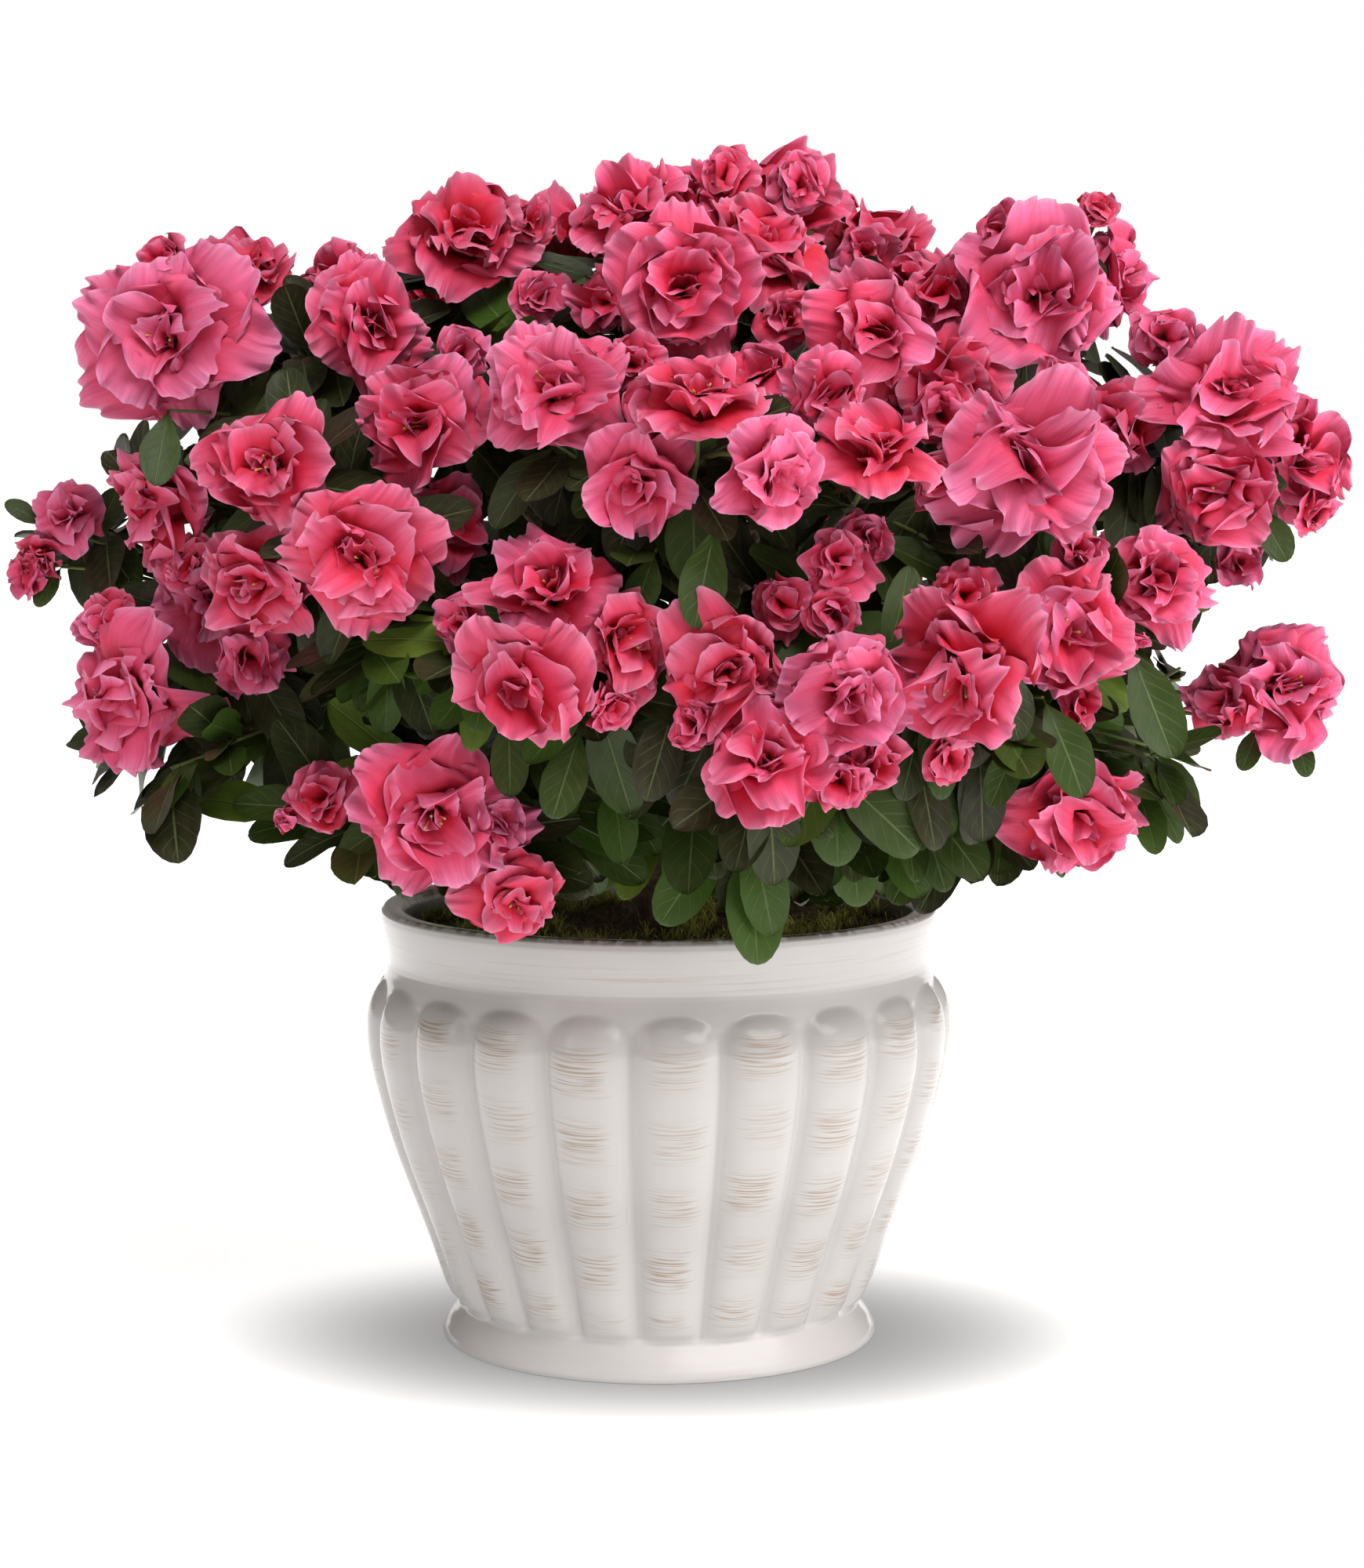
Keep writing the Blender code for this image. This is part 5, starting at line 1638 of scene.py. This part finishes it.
    def whorl(
        self, tip: Vector, axis: Vector, count: int, lean: float, outward: Vector, dice: random.Random,
        tones: tuple,
    ) -> None:
        """Sets leaves spirally back from a twig's tip.

        Args:
            tip: The twig's tip.
            axis: Its direction there.
            count: How many leaves.
            lean: How far they lean out from it, in radians.
            outward: The spray's own direction.
            dice: The draw.
            tones: The strips of the finish to choose from.
        """
        around = dice.uniform(0, math.tau)
        first, second = side_axes(axis)
        for k in range(count):
            root = tip - axis * self.pitch * MM * k
            for _ in range(self.tries):
                around += GOLDEN_ANGLE
                out = swung(first, second, around)
                angle = lean * dice.uniform(0.75, 1.2)
                direction = (swung(axis, out, angle) - UP * self.sag(tip)).normalized()
                stray = Vector((dice.uniform(-0.4, 0.4), dice.uniform(-0.3, 0.3), 0))
                sky = self.light + outward * 0.6 + stray
                face = (sky - direction * sky.dot(direction)).normalized()
                length = dice.uniform(*self.leaf_length) * (1 - self.shorter * k)
                if self.try_leaf(root, direction, face, length, dice.choice(tones), dice):
                    break

    def sag(self, place: Vector) -> float:
        """How much the leaves at a place hang: the low ones more."""
        return 0.6 if place.z < self.heavy else 0.35

    def tones(self, place: Vector) -> tuple:
        """The greens that leaves take: blackish high among the flowers, livelier low down."""
        return next(tones for height, tones in self.tones_at if place.z > height)

    def shoot(
        self, start: Vector, direction: Vector, length: float, outward: Vector, dice: random.Random,
        planned: bool = False,
    ) -> bool:
        """Grows a leafy shoot, if it has room or is in the plan."""
        tip = start + direction * length
        stray = Vector([dice.uniform(-1, 1) for _ in range(3)])
        control = start + direction * length * 0.5 + stray * 4 * MM
        path = bend(start, control, tip, self.shoot_points)
        if not planned and not self.clear(np.array(path[2:])):
            return False
        self.twig(path, self.shoot_radii)
        axis = (path[-1] - path[-2]).normalized()
        tones = self.young_tones if dice.random() < self.young else self.tones(tip)
        self.whorl(tip, axis, self.on_shoot, self.leans[2], outward, dice, tones)
        return True

    def twig(self, path: list[Vector], radii: tuple) -> None:
        """Adds a twig that tapers from one radius to the other along a path."""
        self.twigs.add(*tube_grid(path, np.linspace(*radii, len(path)).tolist(), 6), wrap=True)

    def grow(self, one: Spray) -> None:
        """Grows one spray: its stem, a twig to each flower, and leafy shoots between them."""
        dice = random.Random(f"azalea {one.name}")
        fork, outward, bough = one.fork(), one.outward(), self.bough(one)
        foot = bough[0]
        ahead = (fork - foot).normalized()
        path = [foot - ahead * 1.2 * MM, foot.lerp(fork, 0.6), fork, fork + ahead * 2.2 * MM]
        self.twigs.add(*tube_grid(path, self.stem_radii, 8), wrap=True)
        ends = []
        for bloom in one.all_blooms():
            neck = bloom.place() - bloom.facing() * bloom.width * MM * self.neck
            control = neck - bloom.facing() * (neck - fork).length * 0.4
            path = bend(fork, control, neck, 9)
            self.twig(path, self.twig_radii)
            ends.append((path, bloom))
        for path, bloom in ends:
            axis = (path[-1] - path[-2]).normalized()
            count = self.under_bloom if bloom.form() is Form.OPEN else self.on_twig
            tones = self.tones(bloom.place())
            self.whorl(path[-3], axis, count, self.leans[0], outward, dice, tones)
            self.whorl(path[4], axis, self.on_twig, self.leans[1], outward, dice, tones)
        for _ in range(one.shoots + self.more_shoots * (len(one.blooms) > 1)):
            first, second = side_axes(outward)
            for _ in range(self.tries):
                around = dice.uniform(0, math.tau)
                lean = swung(first, second, around) * dice.uniform(0.5, 1.5)
                direction = (outward + lean).normalized()
                if self.shoot(fork, direction, dice.uniform(*self.shoot_length) * MM, outward, dice):
                    break
        for tip in one.leafy:
            start = min(bough, key=lambda at: (at - tip).length)
            level = Vector((tip.x, tip.y, 0)).normalized()
            along = tip - start
            self.shoot(start, along.normalized(), along.length, level, dice, planned=True)
        if fork.z < self.low and len(one.blooms) > 1:
            self.fill(bough, dice)

    def hang(self, one: Spray) -> None:
        """Hangs a spray's planned leaves, which the others then keep clear of."""
        dice, bough = random.Random(f"hanging {one.name}"), self.bough(one)
        for root, tip in one.hanging:
            direction, length = (tip - root).normalized(), (tip - root).length
            face = (self.front - direction * direction.dot(self.front)).normalized()
            start = min(bough, key=lambda at: (at - root).length)
            control = start.lerp(root, 0.5) + UP * 6 * MM
            self.twig(bend(start, control, root, self.shoot_points), self.shoot_radii)
            side = direction.cross(face)
            middle = root + direction * length * 0.5
            half = side * length * self.hanging_kite
            for lift in (-self.berth, self.berth):
                corners = [at + face * lift for at in (root, middle - half, tip, middle + half)]
                self.blades.append((middle, BVHTree.FromPolygons(corners, BLADE_FACES)))
            tone = 3 if root.z < self.heavy else 2
            self.add_leaf(root, (side, direction, face), length, tone, dice)

    def fill(self, bough: list[Vector], dice: random.Random) -> None:
        """Grows leafy side shoots down a low bough, outward and over the rim.

        Args:
            bough: Points down the bough from its tip.
            dice: The draw.
        """
        for k in range(self.side_shoots):
            start = bough[min(k + 1, len(bough) - 1)]
            level = Vector((start.x, start.y, 0)).normalized()
            for _ in range(self.tries):
                aside = Vector((-level.y, level.x, 0)) * dice.uniform(-1.3, 1.3)
                direction = (level + aside + UP * dice.uniform(-0.5, 0.5)).normalized()
                if self.shoot(start, direction, dice.uniform(*self.side_length) * MM, level, dice):
                    break

    def build(self) -> None:
        """Makes the twigs and the leaves."""
        for one in self.sprays:
            self.hang(one)
        for one in self.sprays:
            self.grow(one)
        twigs = show("twigs", self.twigs.mesh("twigs", weld=True), GREEN_TWIG.make())
        shapes = [LeafShape(k).mesh() for k in range(self.leaf_shapes)]
        finish = LeafGreen()
        mesh = scatter("leaves", self.leaves, shapes, finish.make(), len(finish.greens))
        log.info("%d leaves", len(self.leaves))
        leaves = show("leaves", mesh, None)
        for piece in (leaves, twigs):
            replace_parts(piece, *(one.name for one in self.sprays))


@dataclass(frozen=True)
class LeafShape:
    """One leaf a unit long, on +Y from the origin, with its upper side to +Z."""

    number: int
    half_width: float = 0.235
    stalk: float = 0.07
    widest: float = 0.56
    stations: tuple = (0.0, 0.001, 0.17, 0.36, 0.56, 0.73, 0.86, 0.945, 0.985, 1.0)
    columns: int = 5

    def mesh(self) -> bpy.types.Mesh:
        """A folded and curved blade, broadest past its middle, round at its tip, on a short stalk."""
        dice = random.Random(40 + self.number)
        blade, u = np.meshgrid(self.stations, np.linspace(-1, 1, self.columns), indexing="ij")
        v = np.where(blade > 0, self.stalk + blade * (1 - self.stalk), 0)
        lower = np.clip(blade / self.widest, 0, 1)
        upper = np.clip((blade - self.widest) / (1 - self.widest), 0, 1)
        outline = np.sin(np.pi / 2 * lower) ** 0.95 * np.sqrt(1 - upper ** 2.1)
        half = self.half_width * dice.uniform(0.85, 1.1) * np.maximum(outline, 0.06 * (1 - blade))
        x = u * half
        fold, droop, twist = dice.uniform(0.1, 0.35), dice.uniform(0.02, 0.3), dice.uniform(-0.35, 0.35)
        wave = 0.02 * np.sin(v * 9 + self.number) * np.abs(u)
        z = fold * np.abs(x) - droop * v ** 2 + wave + twist * x * v
        y = v - 0.12 * droop * v ** 3
        book = PatchBook()
        book.add(np.stack([x, y, z], -1), np.stack([(u + 1) / 2 * INSIDE_STRIP + STRIP_EDGE, v], -1))
        return book.mesh(f"leaf_{self.number}")


# ---- studio --------------------------------------------------------------------------------------
@dataclass(frozen=True)
class Panel:
    """A soft panel of light that looks at a height on the planter's axis."""

    name: str
    place: tuple
    size: tuple
    power: float
    aim: float = 0.12
    spread: float = math.pi
    glossy: bool = False  # whether it shines in the glaze

    def build(self) -> None:
        """Puts the panel in the scene, where it lights the plant but doesn't show itself."""
        data = bpy.data.lights.new(self.name, "AREA")
        data.shape, data.size, data.size_y = "RECTANGLE", *self.size
        data.energy, data.spread = self.power, self.spread
        lamp = add_object(self.name, data)
        lamp.location = self.place
        lamp.rotation_euler = (Vector(self.place) - UP * self.aim).to_track_quat("Z", "Y").to_euler()
        lamp.visible_glossy, lamp.visible_camera = self.glossy, False


@dataclass
class Studio:
    """A white floor that runs out into white light, a wide soft key, four panels and the camera."""

    camera_place: tuple = (0.0075, -1.15, 0.295)
    pitch: float = math.radians(-5.81)
    focal_length: float = 82.8
    sensor: float = 36.0
    key: tuple = (0.66, -0.52, 1.0)  # the direction that it comes from
    key_strength: float = 1.10
    key_spread: float = math.radians(50)
    panels: tuple = (
        Panel("window", (-1.15, -0.95, 0.75), (0.45, 0.7), 0.7, glossy=True),
        Panel("side", (1.2, -0.45, 0.25), (0.8, 0.5), 7.6),
        Panel("above", (0.14, -0.62, 1.0), (0.6, 0.4), 1.15, 0.32, math.radians(75)),
        Panel("low", (0.03, -0.42, 0.012), (0.3, 0.01), 0.024, 0.004, math.radians(16)),
    )
    sky: float = 0.26
    sky_colour: tuple = (1.0, 0.90, 0.83)
    floor_radius: float = 14.0
    floor_grey: float = 0.82
    floor_glow: float = 0.80
    painted_shadow: tuple = (0.135, 0.103, 0.004, -0.010)  # the painted shadow, a dim pool round the planter: half width, half depth, across and back
    painted_shadow_edge: float = 1.65  # how far out the painted shadow ends, in squares of those halves
    # the floor's grey and glow in the middle of the painted shadow
    painted_shadow_grey: float = 0.08
    painted_shadow_glow: float = 0.26

    def white(self) -> bpy.types.Material:
        """The floor's white, which glows a little except in a painted shadow, a dim pool round the
        planter.
        """
        made, graph, principled = shader("floor_white", Roughness=0.9, Emission_Color=(1, 1, 1, 1))
        x, y, _ = graph.parts(graph.solid_places())
        wide, deep, aside, back = self.painted_shadow
        across = (x - aside) / wide
        along = (y - back) / deep
        # painted shadow: the grey and the glow rise smoothly from the dim pool round the planter to the
        # open floor
        inputs = {"Value": across * across + along * along, "From Min": 0.0, "From Max": self.painted_shadow_edge}
        clear = graph.term("ShaderNodeMapRange", inputs, "Result", interpolation_type="SMOOTHSTEP")
        glow = clear * (self.floor_glow - self.painted_shadow_glow) + self.painted_shadow_glow
        grey = clear * (self.floor_grey - self.painted_shadow_grey) + self.painted_shadow_grey
        graph.put(glow, principled.inputs["Emission Strength"])
        graph.put(grey, principled.inputs["Base Color"])
        return made

    def world(self) -> None:
        """Lights the plant softly from all round, with plain white behind it."""
        world = bpy.data.worlds.new("studio")
        world.use_nodes = True
        graph, background = Graph(world.node_tree), world.node_tree.nodes["Background"]
        seen = graph.term("ShaderNodeLightPath", output="Is Camera Ray")
        graph.put(graph.maths("MAXIMUM", seen, self.sky), background.inputs["Strength"])
        graph.put(graph.blend(seen, self.sky_colour, (1, 1, 1)), background.inputs["Color"])
        bpy.context.scene.world = world

    def lights(self) -> None:
        """Adds the wide key above the camera and on its right, and the four panels."""
        data = bpy.data.lights.new("key", "SUN")
        data.energy, data.angle = self.key_strength, self.key_spread
        add_object("key", data).rotation_euler = Vector(self.key).to_track_quat("Z", "Y").to_euler()
        for panel in self.panels:
            panel.build()

    def build(self) -> None:
        """Makes the floor, the lights, the world and the camera."""
        shell = bmesh.new()
        bmesh.ops.create_circle(shell, cap_ends=True, segments=96, radius=self.floor_radius)
        floor_mesh = bpy.data.meshes.new("floor")
        shell.to_mesh(floor_mesh)
        shell.free()
        floor_mesh.materials.append(self.white())
        add_object("floor", floor_mesh)
        self.world()
        self.lights()
        data = bpy.data.cameras.new("camera")
        data.lens, data.sensor_width = self.focal_length, self.sensor
        camera = add_object("camera", data)
        camera.location = self.camera_place
        camera.rotation_euler = (math.pi / 2 + self.pitch, 0, 0)
        bpy.context.scene.camera = camera
        bpy.context.scene.view_settings.view_transform = "Standard"


def main() -> None:
    """Builds the plant, its planter and the studio."""
    logging.basicConfig(level=logging.INFO, format="%(message)s", stream=sys.stdout)
    Studio().build()
    Planter().build()
    RootBall().build()
    sprays = [*FRONT_SPRAYS, *(one for tier in BACK_TIERS for one in tier.sprays())]
    Wood(sprays).build()
    Foliage(sprays).build()
    pieces = Flowers([bloom for one in sprays for bloom in one.all_blooms()]).build()
    for piece in pieces:
        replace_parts(piece, *(one.name for one in sprays))


if __name__ == "__main__":
    main()
